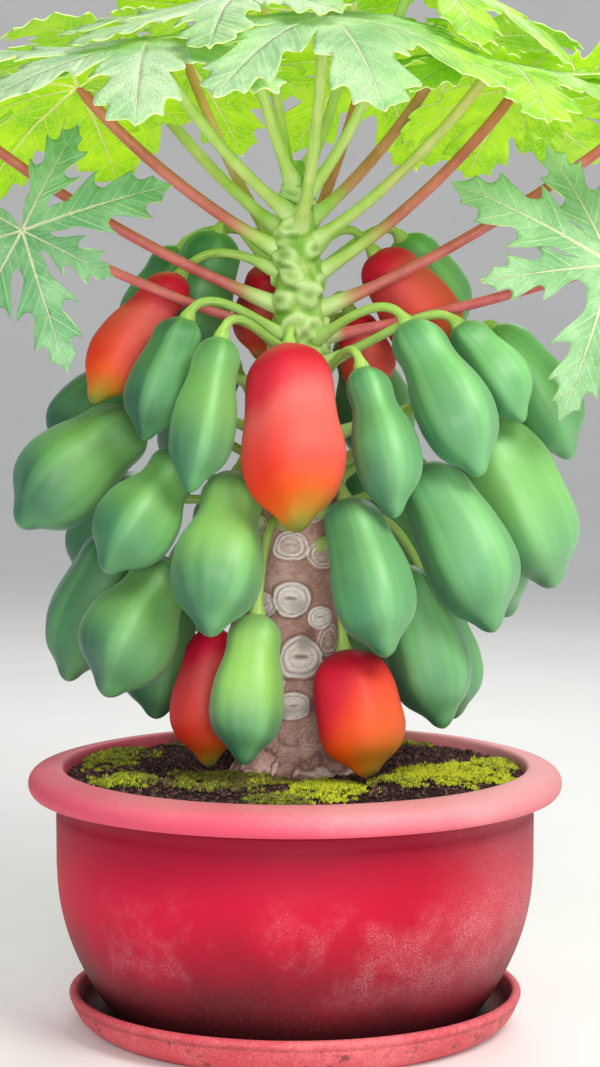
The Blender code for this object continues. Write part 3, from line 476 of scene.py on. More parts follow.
def scar_relief(angle, height, radius):
    """How far the bark stands out, how pale it is, and how dark its scar outlines and painted crease shade
    are, for scars and knobs.

    In a scar's own measure, out is 1 at its rim; a woody one has two rings, an eye and a slit."""
    relief = np.zeros_like(angle)
    pale = np.zeros_like(angle)
    crease = np.zeros_like(angle)
    draw = random.Random(11)
    scars = list(FRONT_SCARS)
    for i in range(SPIRAL_SCARS):
        azimuth = (i * SPIRAL_TURN + 20) % 360
        level = 0.265 + (GREEN_FROM + 0.01 - 0.265) * (i + 0.5) / SPIRAL_SCARS
        if all(
            degrees_apart(azimuth, s[0]) * BARK_PER_DEGREE > SCAR_ROOM_ACROSS
            or abs(level - s[1]) > SCAR_ROOM_UP
            for s in scars
        ):
            plain = draw.uniform(0.25, 0.6) if 225 < azimuth < 320 else draw.uniform(0.45, 0.9)
            scars.append((azimuth, level, draw.uniform(0.014, 0.019), draw.uniform(0.011, 0.015), plain))
    for azimuth, level, half_width, half_height, plain in scars:
        across = round_from(azimuth, angle) * radius / half_width
        up = (height - level) / half_height
        up = up + 0.22 * across**2 * draw.uniform(-0.4, 1.0)
        wobble = 1 + 0.025 * np.sin(np.arctan2(up, across) * 3 + azimuth)
        out = np.sqrt(across**2 + up**2) * wobble
        near = out < 1.7
        rim = hump(out, 0.92, 0.085)
        ring = hump(out, 0.66, 0.065)
        eye = hump(out, 0.0, 0.40)
        slit = hump(up, 0.05, 0.10) * np.exp(-((across / 0.34) ** 4))
        inside = 1 - smooth_step((out - 0.9) / 0.18)
        moat = hump(out, 0.79, 0.05) + 0.8 * hump(out, 1.10, 0.07)
        moat += 0.4 * hump(out, 0.50, 0.05)
        stands_out = 0.0019 * rim + 0.0012 * ring + 0.0012 * eye + 0.0008 * inside - 0.0020 * slit
        relief += near * plain * stands_out
        pale = np.maximum(pale, near * plain * (0.45 * inside + 0.55 * np.maximum(rim, ring) + 0.35 * eye))
        # Dark outlines round the scars' rims, and painted shade in the slits
        crease = np.maximum(crease, near * plain * np.maximum(moat * 0.8, slit))
    knobs = list(GREEN_SCARS)
    for i in range(SPIRAL_KNOBS):
        azimuth = (i * SPIRAL_TURN + 64) % 360
        level = 0.630 + 0.150 * (i + 0.5) / SPIRAL_KNOBS
        if all(
            degrees_apart(azimuth, k[0]) > KNOB_ROOM_DEGREES or abs(level - k[1]) > KNOB_ROOM_UP
            for k in knobs
        ):
            knobs.append((azimuth, level, draw.uniform(0.0060, 0.0095)))
    for azimuth, level, half in knobs:
        across = round_from(azimuth, angle) * radius / (half * draw.uniform(1.0, 1.35))
        up = (height - level) / half + across * draw.uniform(-0.35, 0.35)
        out = np.sqrt(across**2 + up**2)
        knob = 1 - smooth_step((out - 0.55) / 0.85)
        brow = hump(out, 0.82, 0.24) * smooth_step(up * 0.9 + 0.75)
        dent = np.exp(-((across / 0.55) ** 2) - ((up + 0.12) / 0.42) ** 2)
        pit = np.exp(-((across / 0.80) ** 2) - ((up + 1.25) / 0.32) ** 2)
        relief += 0.0044 * knob + 0.0005 * brow - 0.0014 * dent - 0.0020 * pit
        # The knobs are paler, with a painted highlight on their upper brows
        pale = np.maximum(pale, np.maximum(0.62 * brow, knob * 0.58) * (1 - 0.7 * dent))
        crease = np.maximum(crease, np.maximum(0.9 * pit, 0.40 * dent))
    return relief, pale, crease


levels = BARK_FOOT + (TRUNK_TIP - BARK_FOOT) * np.linspace(0, 1, BARK_RINGS) ** 1.04
level, angle = lattice(levels, full_turn(BARK_SIDES))
radius = trunk_radius(level)
flare = np.exp(-np.maximum(0.0, level - TRUNK_FOOT) / FLARE_HEIGHT)
radius = radius * (1 + FLARE_RIDGE * flare * np.cos(FLARE_RIDGES * angle + 0.6))
share = (level - TRUNK_FOOT) / (TRUNK_TIP - TRUNK_FOOT)
lean = TRUNK_LEAN * (np.sin(math.pi * share) - 0.4 * (1 - share))
wall = np.stack([np.cos(angle), np.sin(angle), np.zeros_like(angle)], axis=1)
skin = wall * radius[:, None] + np.stack([lean, np.zeros_like(lean), level], axis=1)
ruffle, ruffle_up = rough(skin, 95, 6), rough(skin, 95, 7)
relief, pale, crease = scar_relief(angle + RUFFLE * ruffle / radius, level + RUFFLE * ruffle_up, radius)
woody = 1 - smooth_step((level - GREEN_FROM + 0.03) / 0.07)
folds = rough(skin, 34, 1, 1.8)
wrinkles = rough(skin, 120, 2, 2.6)
fine = rough(skin, 330, 3)
relief += woody * (0.0011 * folds + 0.0006 * wrinkles + 0.00025 * fine)
relief += (1 - woody) * (0.0010 * folds + 0.0002 * wrinkles)
# Rough plates lift off the foot, each with a ragged lower edge
plates = rough(skin, 62, 4, 0.8) + 0.35 * rough(skin, 150, 5)
foot = hump(np.maximum(0.0, level - 0.236), 0.0, 0.040)
relief += foot * (0.0050 * smooth_step((plates + 0.05) / 0.16) - 0.0014)
# Painted shade in the cracks between the foot's plates
crease = np.maximum(crease, foot * hump(plates, 0.0, 0.09) * 0.9)
pale = np.maximum(pale, foot * smooth_step((plates - 0.02) / 0.15) * 0.34)
# Painted shade in the hollows of the woody folds
crease = np.maximum(crease, woody * smooth_step((-folds - 0.25) / 0.3) * 0.6)
skin += wall * relief[:, None]
ends = [trunk_centre(BARK_FOOT), trunk_centre(TRUNK_TIP)]
faces, corners = rolled(BARK_RINGS, BARK_SIDES)
bark_piece = new_piece(
    "trunk_bark", np.concatenate([skin, ends]), faces, corners,
    pale=np.append(pale, (0, 0)), crease=np.append(crease, (0, 0)),
)

bark, wood = new_finish("bark", Specular_IOR_Level=0.25)
spot = wood.place()
height = spot.part("Z")
grain = spot.scaled(1.0, 1.0, 2.2).speckle(260, 5, 0.7)
blotch = spot.speckle(42, 4, 0.6)
pale_mark = wood.mark("pale")
crease_mark = wood.mark("crease")
brown = (blotch * 0.6 + grain * 0.5).between(0.40, 0.72).mix(tint(168, 126, 114), tint(218, 182, 170))
scar = grain.between(0.28, 0.58).mix(tint(234, 218, 206), tint(255, 248, 242))
shade = (pale_mark * (0.75 + grain * 0.6)).between(0.16, 0.62).mix(brown, scar)
# Dark scar outlines, and painted shade in the slits, pits, cracks and folds
shade = (crease_mark * 0.85).mix(shade, tint(84, 58, 52))
green = blotch.between(0.36, 0.64).mix(tint(130, 180, 66), tint(190, 216, 128))
green = grain.between(0.56, 0.74).mix(green, tint(128, 176, 66))
green = (pale_mark * 1.1).least(1.0).mix(green, tint(228, 244, 186))
# Painted shade in the knobs' dents and in the pits beneath them
green = (crease_mark * 0.9).mix(green, tint(88, 146, 40))
young = (height + (blotch - 0.5) * 0.05).between(GREEN_FROM - 0.02, GREEN_FROM + 0.05)
shade = young.mix(shade, green)
lay_on(bark, shade, 0.86 - young * 0.36 + (grain - 0.5) * 0.15, grain * 0.7 + blotch * 0.4, 0.0011)
belongs(bark_piece, [bark], "bark", "trunk")

# Leaves
# Seventeen leaves spring from the top of the stem, each on a long hollow stalk with a swollen base.
# A blade has seven deep lobes round one point, ribbed in cream, pale mint above and lime green beneath.

# Azimuth and height where the petiole leaves the trunk; azimuth, reach and height of its far end;
# which way the blade slopes down and how steeply; the heading of its middle lobe; the length of that
# lobe; and how far its lobes droop
LEAVES = {
    "leaf_left_hanging": (165, 0.645, 202, 0.262, 0.742, 264, 80, 282, 0.135, 0.10),
    "leaf_right_hanging": (12, 0.642, 346, 0.295, 0.712, 282, 78, 263, 0.150, 0.15),
    "leaf_left_low": (184, 0.668, 185, 0.330, 0.862, 172, 26, 180, 0.165, 0.30),
    "leaf_right_low": (356, 0.664, 358, 0.330, 0.858, 12, 26, 0, 0.165, 0.30),
    "leaf_left_long": (196, 0.718, 191, 0.201, 0.874, 112, 22, 175, 0.195, 0.12),
    "leaf_left_back": (140, 0.735, 146, 0.205, 0.920, 112, 24, 145, 0.195, 0.16),
    "leaf_front_left": (230, 0.755, 229, 0.195, 0.905, 250, 12, 222, 0.190, 0.20),
    "leaf_front_left_inner": (254, 0.782, 240, 0.105, 0.950, 225, 14, 215, 0.175, 0.22),
    "leaf_front": (286, 0.738, 280, 0.155, 0.926, 275, 14, 285, 0.185, 0.20),
    "leaf_front_right_inner": (328, 0.768, 330, 0.125, 0.972, 330, 16, 340, 0.165, 0.22),
    "leaf_right_front": (337, 0.726, 338, 0.195, 0.894, 330, 10, 330, 0.175, 0.22),
    "leaf_right_long": (10, 0.695, 12, 0.215, 0.880, 70, 22, 10, 0.195, 0.10),
    "leaf_right_back": (45, 0.745, 42, 0.205, 0.925, 66, 24, 45, 0.195, 0.16),
    "leaf_back_left": (112, 0.700, 118, 0.235, 0.922, 110, 26, 120, 0.172, 0.16),
    "leaf_back": (78, 0.718, 72, 0.240, 0.926, 80, 26, 70, 0.172, 0.16),
    "leaf_back_inner": (94, 0.768, 103, 0.135, 0.962, 95, 26, 100, 0.175, 0.18),
    "leaf_back_right_inner": (40, 0.788, 48, 0.100, 1.020, 50, 12, 45, 0.150, 0.22),
}
# The lobes of the two leaves that hang at the front, from -138 to 138 degrees
OWN_LOBES = {
    "leaf_left_hanging": (0.090, 0.110, 0.125, 0.130, 0.090, 0.138, 0.110),
    "leaf_right_hanging": (0.125, 0.160, 0.118, 0.145, 0.140, 0.120, 0.100),
}
# Where the lobes of the right one point, from its middle lobe: they are spread by the wind
OWN_ANGLES = {
    "leaf_right_hanging": (-138.0, -103.0, -66.0, 0.0, 46.0, 92.0, 138.0),
}
# How red a petiole is, how far up its base stays green, and how much its end turns orange
PETIOLE_TINTS = {
    "leaf_left_hanging": (0.95, 0.05, 0.0), "leaf_right_hanging": (1.0, 0.06, 0.0),
    "leaf_left_low": (0.95, 0.10, 0.1), "leaf_right_low": (0.95, 0.10, 0.1),
    "leaf_left_long": (0.90, 0.20, 0.35), "leaf_left_back": (0.10, 0.30, 0.9),
    "leaf_front_left": (0.0, 0.5, 0.1), "leaf_front_left_inner": (0.0, 0.5, 0.0),
    "leaf_front": (0.05, 0.5, 0.0), "leaf_front_right_inner": (0.0, 0.5, 0.0),
    "leaf_right_front": (0.20, 0.35, 0.2), "leaf_right_long": (0.90, 0.28, 0.35),
    "leaf_right_back": (0.75, 0.20, 0.4), "leaf_back_left": (0.5, 0.25, 0.5),
    "leaf_back": (0.8, 0.2, 0.4), "leaf_back_inner": (0.1, 0.4, 0.3),
    "leaf_back_right_inner": (0.05, 0.4, 0.1),
}
# How much whitish sheen is painted on the top of a blade, and how lime green the rest of it is
BLADE_TINTS = {
    "leaf_front_left": (1.0, 0.0), "leaf_left_long": (0.65, 0.4), "leaf_front": (0.80, 0.2),
    "leaf_right_front": (0.30, 0.8), "leaf_front_right_inner": (0.20, 0.9),
    "leaf_front_left_inner": (0.55, 0.5), "leaf_left_hanging": (0.20, 0.0),
    "leaf_right_hanging": (0.50, 0.0),
}
USUAL_TINTS = (0.15, 0.9)
SUNLIT_FROM = 0.04
SUNLIT_FADE = 0.12
PETIOLE_RINGS = 6
PETIOLE_BASE_RADIUS = 0.0052
PETIOLE_TIP_RADIUS = 0.0045
PETIOLE_CUSHION = 0.60
PETIOLE_STEPS = 56
PETIOLE_SIDES = 20
PETIOLE_END_STEPS = 5
LOBE_COUNT = 7
LOBE_SPACING = 46.0
LOBE_LENGTHS = (1.0, 0.96, 0.84, 0.62)
LOBE_MARGIN = 0.33
# The notch between two lobes, from the centre, as a part of a lobe's length: deep on the hanging
# leaves, shallower in the crown
SINUS = 0.27
CROWN_SINUS = 0.36
ROW_ANGLE = 40.0
BACK_ANGLE = 22.0
BACK_REACH = 0.20
CUP = 0.16
DROOP_POWER = 1.6
DROOP_TRIALS = (0.0, -0.2, 0.2, -0.4, 0.4, -0.6, 0.6, -0.8, 0.8)
LENGTH_TRIALS = (1.0, 0.85, 0.7, 0.55, 0.42)
BLADE_THICKNESS = 0.0013
RIB_THICKNESS = 0.0038
# Side ribs of a lobe: how far along its midrib each leaves, how wide it is drawn, and how thick it stands
SIDE_RIBS = (
    (0.312, 0.0042, 0.55), (0.602, 0.0036, 0.45), (0.792, 0.0028, 0.30), (0.20, 0.0030, 0.30),
    (0.45, 0.0026, 0.25), (0.70, 0.0022, 0.0), (0.12, 0.0024, 0.0), (0.53, 0.0018, 0.0),
    (0.38, 0.0018, 0.0), (0.88, 0.0018, 0.0),
)
RIB_HALF_STEP = 0.008
RIPPLE_DEPTH = 0.0016
QUILT_DEPTH = 0.0005
QUILT_LENGTH = 0.058
FOLD = 0.055
VEIN_NET_SCALE = 36


def place(azimuth, reach, height):
    return outward(azimuth) * reach + np.array((0.0, 0.0, height))


def unit(vector):
    return vector / math.sqrt((vector * vector).sum())


def bezier(start, leave, arrive, end, count):
    """Points along a smooth curve, count of them, both ends included."""
    t = np.linspace(0.0, 1.0, count)[:, None]
    return (
        (1 - t) ** 3 * start
        + 3 * (1 - t) ** 2 * t * leave
        + 3 * (1 - t) * t**2 * arrive
        + t**3 * end
    )


def tube(name, path, radii, sides):
    """A round stem along a path, rounded off at both ends."""
    points = []
    side = None
    for i, centre in enumerate(path):
        along = unit(path[min(i + 1, len(path) - 1)] - path[max(i - 1, 0)])
        if side is None:
            side = unit(np.cross(along, np.array((0.31, 0.22, 0.93))))
        side = unit(side - along * (side * along).sum())
        other = np.cross(along, side)
        for k in range(sides):
            turn = 2 * math.pi * k / sides
            points.append(centre + radii[i] * (math.cos(turn) * side + math.sin(turn) * other))
    points += [path[0], path[-1] + unit(path[-1] - path[-2]) * radii[-1] * 0.5]
    faces, corners = rolled(len(path), sides)
    return new_piece(name, points, faces, corners)


def leaf_axes(leaf):
    """Centre of the blade, its normal, its heading and its side, as vectors."""
    azimuth, reach, height, downhill, slope, heading = leaf[2:8]
    tilt, turn = math.radians(slope), math.radians(heading - downhill)
    up = np.array((0.0, 0.0, 1.0))
    normal = outward(downhill) * math.sin(tilt) + up * math.cos(tilt)
    steepest = outward(downhill) * math.cos(tilt) - up * math.sin(tilt)
    forward = steepest * math.cos(turn) + outward(downhill + 90) * math.sin(turn)
    return place(azimuth, reach, height), normal, forward, np.cross(normal, forward)


def petiole_path(leaf, count):
    """From inside the trunk, out and up, and into the underside of the blade."""
    base_azimuth, base_height = leaf[0], leaf[1]
    centre, normal, _, _ = leaf_axes(leaf)
    start = trunk_centre(base_height)
    run = centre - start
    length = math.sqrt((run * run).sum())
    leave = unit(outward(base_azimuth) * 0.6 + run / length)
    arrive = unit(0.85 * run / length + 0.45 * normal)
    return bezier(start, start + leave * length * 0.33, centre - arrive * length * 0.25, centre, count)


def petiole_radii(leaf, count):
    """Thickest at the cushion where it meets the trunk."""
    size = leaf[8] / 0.150
    radii = []
    for i in range(count):
        share = i / (count - 1)
        plain = PETIOLE_BASE_RADIUS + (PETIOLE_TIP_RADIUS - PETIOLE_BASE_RADIUS) * share**0.7
        radii.append(size**0.5 * plain * (1 + PETIOLE_CUSHION * math.exp(-(((share - 0.05) / 0.09) ** 2))))
    return radii


def lobe_angle(name, lobe):
    if name in OWN_ANGLES:
        return OWN_ANGLES[name][lobe]
    return (lobe - LOBE_COUNT // 2) * LOBE_SPACING


def lobe_length(name, lobe):
    if name in OWN_LOBES:
        return OWN_LOBES[name][lobe]
    return LEAVES[name][8] * LOBE_LENGTHS[abs(lobe - LOBE_COUNT // 2)]


def blade_points(name, lobe, shape, along, across):
    """Points on a lobe's surface, from how far they lie along and across it in the flat leaf.

    shape is the lobe's droop and its length. Inside the web round the centre all lobes agree."""
    leaf = LEAVES[name]
    centre, normal, forward, side = leaf_axes(leaf)
    turn = math.radians(lobe_angle(name, lobe))
    out = forward * math.cos(turn) + side * math.sin(turn)
    aside = -forward * math.sin(turn) + side * math.cos(turn)
    droop, length = shape
    radius = np.hypot(along, across)
    drop = CUP * radius**2 / leaf[8]
    past = np.maximum(0.0, radius - LOBE_MARGIN * length) / length
    drop = drop + droop * length * past**DROOP_POWER
    return centre + np.outer(along, out) + np.outer(across, aside) - np.outer(drop, normal)


def grown_lobes(name):
    """The droop and length of each lobe: of those it may take, the pair whose tip the solid has."""
    leaf = LEAVES[name]
    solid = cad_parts[name].data.vertices
    corners = KDTree(len(solid))
    for i, vertex in enumerate(solid):
        corners.insert(vertex.co, i)
    corners.balance()
    shapes = []
    for lobe in range(LOBE_COUNT):
        full = lobe_length(name, lobe)
        ways = [(leaf[9] + more, full * part) for part in LENGTH_TRIALS for more in DROOP_TRIALS]
        misses = []
        for way in ways:
            tip = blade_points(name, lobe, way, np.array([way[1]]), np.array([0.0]))[0]
            misses.append(corners.find(tip)[2])
        shapes.append(ways[misses.index(min(misses))])
    return shapes


# Half a lobe's edge past its sinus, as where a row leaves the midrib and how far it runs to the edge:
# three side lobes and a tip, with a notch after each
LOBE_EDGE = (
    (0.165, 0.146), (0.205, 0.132), (0.232, 0.137), (0.252, 0.185), (0.266, 0.250), (0.286, 0.312),
    (0.318, 0.376), (0.330, 0.318), (0.350, 0.264), (0.380, 0.218), (0.420, 0.180), (0.455, 0.152),
    (0.480, 0.146), (0.498, 0.172), (0.524, 0.218), (0.560, 0.256), (0.602, 0.294), (0.615, 0.240),
    (0.640, 0.194), (0.680, 0.154), (0.720, 0.128), (0.745, 0.122), (0.764, 0.138), (0.795, 0.158),
    (0.812, 0.122), (0.850, 0.090), (0.910, 0.052), (1.0, 0.0),
)
CROWN_EDGE = (
    (0.195, 0.252), (0.225, 0.296), (0.256, 0.332), (0.288, 0.356), (0.318, 0.372), (0.338, 0.354),
    (0.360, 0.316), (0.386, 0.276), (0.414, 0.240), (0.440, 0.216), (0.462, 0.214), (0.484, 0.240),
    (0.508, 0.272), (0.538, 0.302), (0.570, 0.322), (0.600, 0.332), (0.620, 0.308), (0.646, 0.262),
    (0.676, 0.222), (0.704, 0.196), (0.724, 0.190), (0.744, 0.200), (0.768, 0.210), (0.794, 0.214),
    (0.812, 0.184), (0.838, 0.142), (0.878, 0.098), (0.928, 0.054), (1.0, 0.0),
)
WEB_ROWS = 6
EDGE_ROWS = 48
COLUMNS = 6


def half_lobe_rows(name, lobe, shapes, hand, draw):
    """Rows of half a lobe, each as where it leaves the midrib and how far it runs, in metres."""
    hanging = name in OWN_LOBES
    length = shapes[lobe][1]
    neighbour = lobe + hand
    row = math.radians(ROW_ANGLE)
    if 0 <= neighbour < LOBE_COUNT:
        border = math.radians(abs(lobe_angle(name, neighbour) - lobe_angle(name, lobe))) / 2
        reach = (SINUS if hanging else CROWN_SINUS) * min(length, shapes[neighbour][1])
    else:
        border = math.radians(BACK_ANGLE)
        reach = BACK_REACH * length
    rows = []
    for i in range(WEB_ROWS + 1):
        out = reach * i / WEB_ROWS
        run = out * math.sin(border) / math.sin(row)
        rows.append((out * math.cos(border) - run * math.cos(row), run))
    start, run = rows[-1]
    edge = [(start, run)]
    swell = [draw.uniform(0.90, 1.04) for _ in range(3)]
    for next_start, next_run in LOBE_EDGE if hanging else CROWN_EDGE:
        if next_start * length > start + 0.004 * length:
            grown = swell[0] if next_start < 0.43 else swell[1] if next_start < 0.70 else swell[2]
            edge.append((next_start * length, next_run * length * (grown if next_run > 0.2 else 1.0)))
    edge = np.array(edge)
    # The rows are dealt out by the length of the edge, so that each side lobe has a smooth outline
    reach = np.concatenate([[0.0], np.cumsum(np.hypot(*np.diff(edge, axis=0).T))])
    stops = np.linspace(0.0, reach[-1], EDGE_ROWS + 1)[1:]
    starts = np.interp(stops, reach, edge[:, 0])
    runs = np.interp(stops, reach, edge[:, 1])
    # Each row but the last takes a part of its neighbours' length
    padded = np.concatenate([[edge[0, 1]], runs])
    runs[:-1] = 0.25 * padded[:-2] + 0.5 * padded[1:-1] + 0.25 * padded[2:]
    return rows + list(zip(starts, runs))


def rib_weights(starts, run, steps, length):
    """How thick the blade is at each point of half a lobe, from 0 between the ribs to 1 on the midrib."""
    size = 1 - 0.75 * starts / length
    midrib = np.where(steps == 0, size, 0.0)
    midrib = np.where((steps > 0) & (run < 0.0030 * size), 0.6 * size, midrib)
    side = np.zeros_like(starts)
    for at, _, strength in SIDE_RIBS:
        side = np.maximum(side, strength * (np.abs(starts / length - at) < RIB_HALF_STEP))
    return np.maximum(midrib, side * (1 - steps) ** 0.7)


def thickened(sheet, ribs):
    """Gives a sheet its thickness on the underside, thickest at the ribs, and a finish for each side."""
    for finish in (leaf_top, leaf_under, leaf_margin):
        sheet.data.materials.append(finish)
    group = sheet.vertex_groups.new(name="ribs")
    for i, weight in enumerate(ribs):
        group.add([i], float(weight), "REPLACE")
    bpy.ops.object.select_all(action="DESELECT")
    sheet.select_set(True)
    bpy.context.view_layer.objects.active = sheet
    bpy.ops.object.mode_set(mode="EDIT")
    bpy.ops.mesh.select_all(action="SELECT")
    bpy.ops.mesh.remove_doubles(threshold=0.00002)
    bpy.ops.object.mode_set(mode="OBJECT")
    solid = sheet.modifiers.new("thickness", "SOLIDIFY")
    solid.thickness = RIB_THICKNESS
    solid.offset = -1.0
    solid.vertex_group = "ribs"
    solid.thickness_vertex_group = BLADE_THICKNESS / RIB_THICKNESS
    solid.material_offset = 1
    solid.material_offset_rim = 2
    bpy.ops.object.modifier_apply(modifier=solid.name)
    sheet.vertex_groups.clear()


def leaf_blade(name, shapes):
    """One thin sheet over all seven lobes, with its ribs thickened beneath."""
    _, normal, _, _ = leaf_axes(LEAVES[name])
    draw = random.Random(name)
    row = math.radians(ROW_ANGLE)
    points, faces, corners, ribs = [], [], [], []
    for lobe in range(LOBE_COUNT):
        length = shapes[lobe][1]
        for hand in (-1, 1):
            rows = half_lobe_rows(name, lobe, shapes, hand, draw)
            starts = np.array([r[0] for r in rows])[:, None]
            runs = np.array([r[1] for r in rows])[:, None]
            steps = np.linspace(0, 1, COLUMNS + 1)[None, :]
            run = runs * steps
            along = starts + run * math.cos(row)
            across = hand * run * math.sin(row)
            grid = blade_points(name, lobe, shapes[lobe], along.ravel(), across.ravel())
            free = smooth_step((starts / length - 0.14) / 0.2)
            phase = draw.uniform(0, 6.3)
            ripple = RIPPLE_DEPTH * free * steps**2 * np.sin(starts / length * 34 + phase)
            waves = np.cos(starts / length * 2 * math.pi / QUILT_LENGTH)
            quilt = -QUILT_DEPTH * np.sin(math.pi * steps) * waves
            fold = FOLD * np.abs(across) * free
            grid = grid + np.outer((ripple + quilt * np.ones_like(run) + fold).ravel(), normal)
            base = len(points)
            points += list(grid)
            ribs += list(rib_weights(starts, run, steps, length).ravel())
            wide = COLUMNS + 1
            for i in range(len(rows) - 1):
                for j in range(COLUMNS):
                    quad = [(i, j), (i + 1, j), (i + 1, j + 1), (i, j + 1)]
                    if hand < 0:
                        quad.reverse()
                    faces.append(tuple(base + a * wide + b for a, b in quad))
                    for a, b in quad:
                        corners.append((starts[a, 0] / length, 0.5 + hand * run[a, b] / length))
    sheet = new_piece(name + "_blade", points, faces, corners)
    thickened(sheet, ribs)
    return sheet


def vein_lines(wire):
    """How near a point is to the midrib, to a side rib, and to the net of small veins between them."""
    flat = wire.node("UVMap", {})
    along = flat.part("X")
    across = (flat.part("Y") - 0.5).size()
    taper = 1.10 - along
    midrib = 1 - (across / taper).between(0.010, 0.020)
    sides = None
    for at, width, _ in SIDE_RIBS:
        line = 1 - (along - at).size().between(width * 0.6, width * 1.7)
        line = line * (1 - across * 2.6)
        sides = line if sides is None else sides.most(line)
    net = flat.scaled(1.0, 1.35, 1.0).cells(VEIN_NET_SCALE)
    net = 1 - net.between(0.02, 0.09)
    return midrib, sides, net


leaf_top, green = new_finish("leaf_top", Specular_IOR_Level=0.42)
midrib, sides, net = vein_lines(green)
spot = green.place()
blotch = spot.speckle(24, 4, 0.6)
grain = spot.speckle(480, 3, 0.7)
bloom = green.mark("bloom")
sunny = green.mark("lime")
mint = blotch.between(0.36, 0.66).mix(tint(84, 166, 108), tint(134, 202, 144))
lime = blotch.between(0.36, 0.66).mix(tint(136, 206, 8), tint(184, 236, 18))
# Lime where the lime mark says so; on the right of the crown that mark holds painted sunlight
mint = sunny.mix(mint, lime)
white = (blotch * 0.6 + grain * 0.5).between(0.38, 0.68).mix(tint(154, 204, 140), tint(204, 234, 184))
# Painted sheen: a whitish reflection laid over the top of the blade
shade = (bloom * (0.70 + blotch * 0.5)).least(1.0).mix(mint, white)
shade = (net * 0.30).mix(shade, tint(176, 218, 112))
shade = (sides * 0.85).mix(shade, tint(222, 242, 196))
shade = (midrib * 0.95).mix(shade, tint(244, 246, 206))
lift = net * -0.35 + sides * 0.3 + midrib * 0.5 + grain * 0.25
lay_on(leaf_top, shade, 0.46 + (grain - 0.5) * 0.2, lift, 0.0010)

# The underside glows with its own colour: a painted glow of light shining through the blade
leaf_under, green = new_finish("leaf_under", Specular_IOR_Level=0.4, Emission_Strength=0.42)
midrib, sides, net = vein_lines(green)
spot = green.place()
blotch = spot.speckle(22, 4, 0.6)
grain = spot.speckle(480, 3, 0.7)
lime = (blotch * 0.6 + grain * 0.45).between(0.36, 0.68).mix(tint(116, 190, 4), tint(186, 234, 10))
shade = (net * 0.50).mix(lime, tint(204, 242, 60))
shade = (sides * 0.85).mix(shade, tint(226, 246, 118))
shade = (midrib * 0.90).mix(shade, tint(234, 242, 150))
lift = net * 0.35 + sides * 0.6 + grain * 0.2
lay_on(leaf_under, shade, 0.55, lift, 0.0011)
leaf_under.node_tree.links.new(
    shade.socket, leaf_under.node_tree.nodes["Principled BSDF"].inputs["Emission Color"]
)

leaf_margin, edge = new_finish("leaf_margin", Specular_IOR_Level=0.4)
blotch = edge.place().speckle(60, 2)
lay_on(leaf_margin, blotch.between(0.35, 0.65).mix(tint(226, 238, 170), tint(214, 240, 150)), 0.5)

petiole_skin, stem = new_finish("petiole_skin", Specular_IOR_Level=0.45)
flat = stem.node("UVMap", {})
along = flat.part("Y")
spot = stem.place()
streak = flat.scaled(14.0, 1.6, 1.0).speckle(3.2, 4, 0.6)
blotch = spot.speckle(36, 3, 0.6)
red_mark = stem.mark("red")
base_mark = stem.mark("base")
tip_mark = stem.mark("orange")
green = (streak * 0.6 + blotch * 0.4).between(0.34, 0.66).mix(tint(158, 202, 80), tint(206, 226, 136))
dusty = (streak * 0.5 + blotch * 0.5).between(0.34, 0.66).mix(tint(186, 66, 80), tint(222, 112, 118))
reddened = (along + (blotch - 0.5) * 0.10 - base_mark).between(-0.06, 0.10) * red_mark
shade = reddened.mix(green, dusty)
orange = (along + (streak - 0.5) * 0.08).between(0.55, 0.88) * tip_mark
shade = (orange * 0.85).mix(shade, tint(212, 142, 62))
cushion = 1 - (along + (blotch - 0.5) * 0.05).between(0.09, 0.15)
shade = (cushion * 0.8).mix(shade, tint(206, 232, 160))
lay_on(petiole_skin, shade, 0.42 + (streak - 0.5) * 0.2, streak * 0.5 + blotch * 0.3, 0.0006)

for name, leaf in LEAVES.items():
    shapes = grown_lobes(name)
    sheet = leaf_blade(name, shapes)
    bloom, lime = BLADE_TINTS.get(name, USUAL_TINTS)
    spots = np.array([vertex.co for vertex in sheet.data.vertices])
    # Painted light: the right side of the crown is painted lime, as if the sun shone through it, and its
    # painted sheen fades there
    lit = smooth_step((spots[:, 0] - SUNLIT_FROM) / SUNLIT_FADE) * (name not in OWN_LOBES)
    add_marks(sheet, bloom=bloom * (1 - 0.85 * lit), lime=lime + (1 - lime) * lit)
    belongs(sheet, [], "leaf", name)

    path = petiole_path(leaf, PETIOLE_STEPS)
    radii = petiole_radii(leaf, PETIOLE_STEPS)
    _, normal, _, _ = leaf_axes(leaf)
    # The end thins out and dips under the blade, so that it doesn't come out on top
    for step in range(PETIOLE_END_STEPS):
        i = PETIOLE_STEPS - PETIOLE_END_STEPS + step
        radii[i] *= 1.0 - 0.12 * step
        path[i] = path[i] - normal * 0.0006 * step
    stem_piece = tube(name + "_petiole", path, radii, PETIOLE_SIDES)
    red, base, orange = PETIOLE_TINTS[name]
    add_marks(stem_piece, red=red, base=base, orange=orange)
    belongs(stem_piece, [petiole_skin], "leaf", name)

# Fruits
# Thirty-nine papayas hang round the stem from the crown down to the soil, each on a short bent stalk.
# Green ones have a waxy bloom; the ripe ones run from crimson at the neck to orange and olive at the tip.

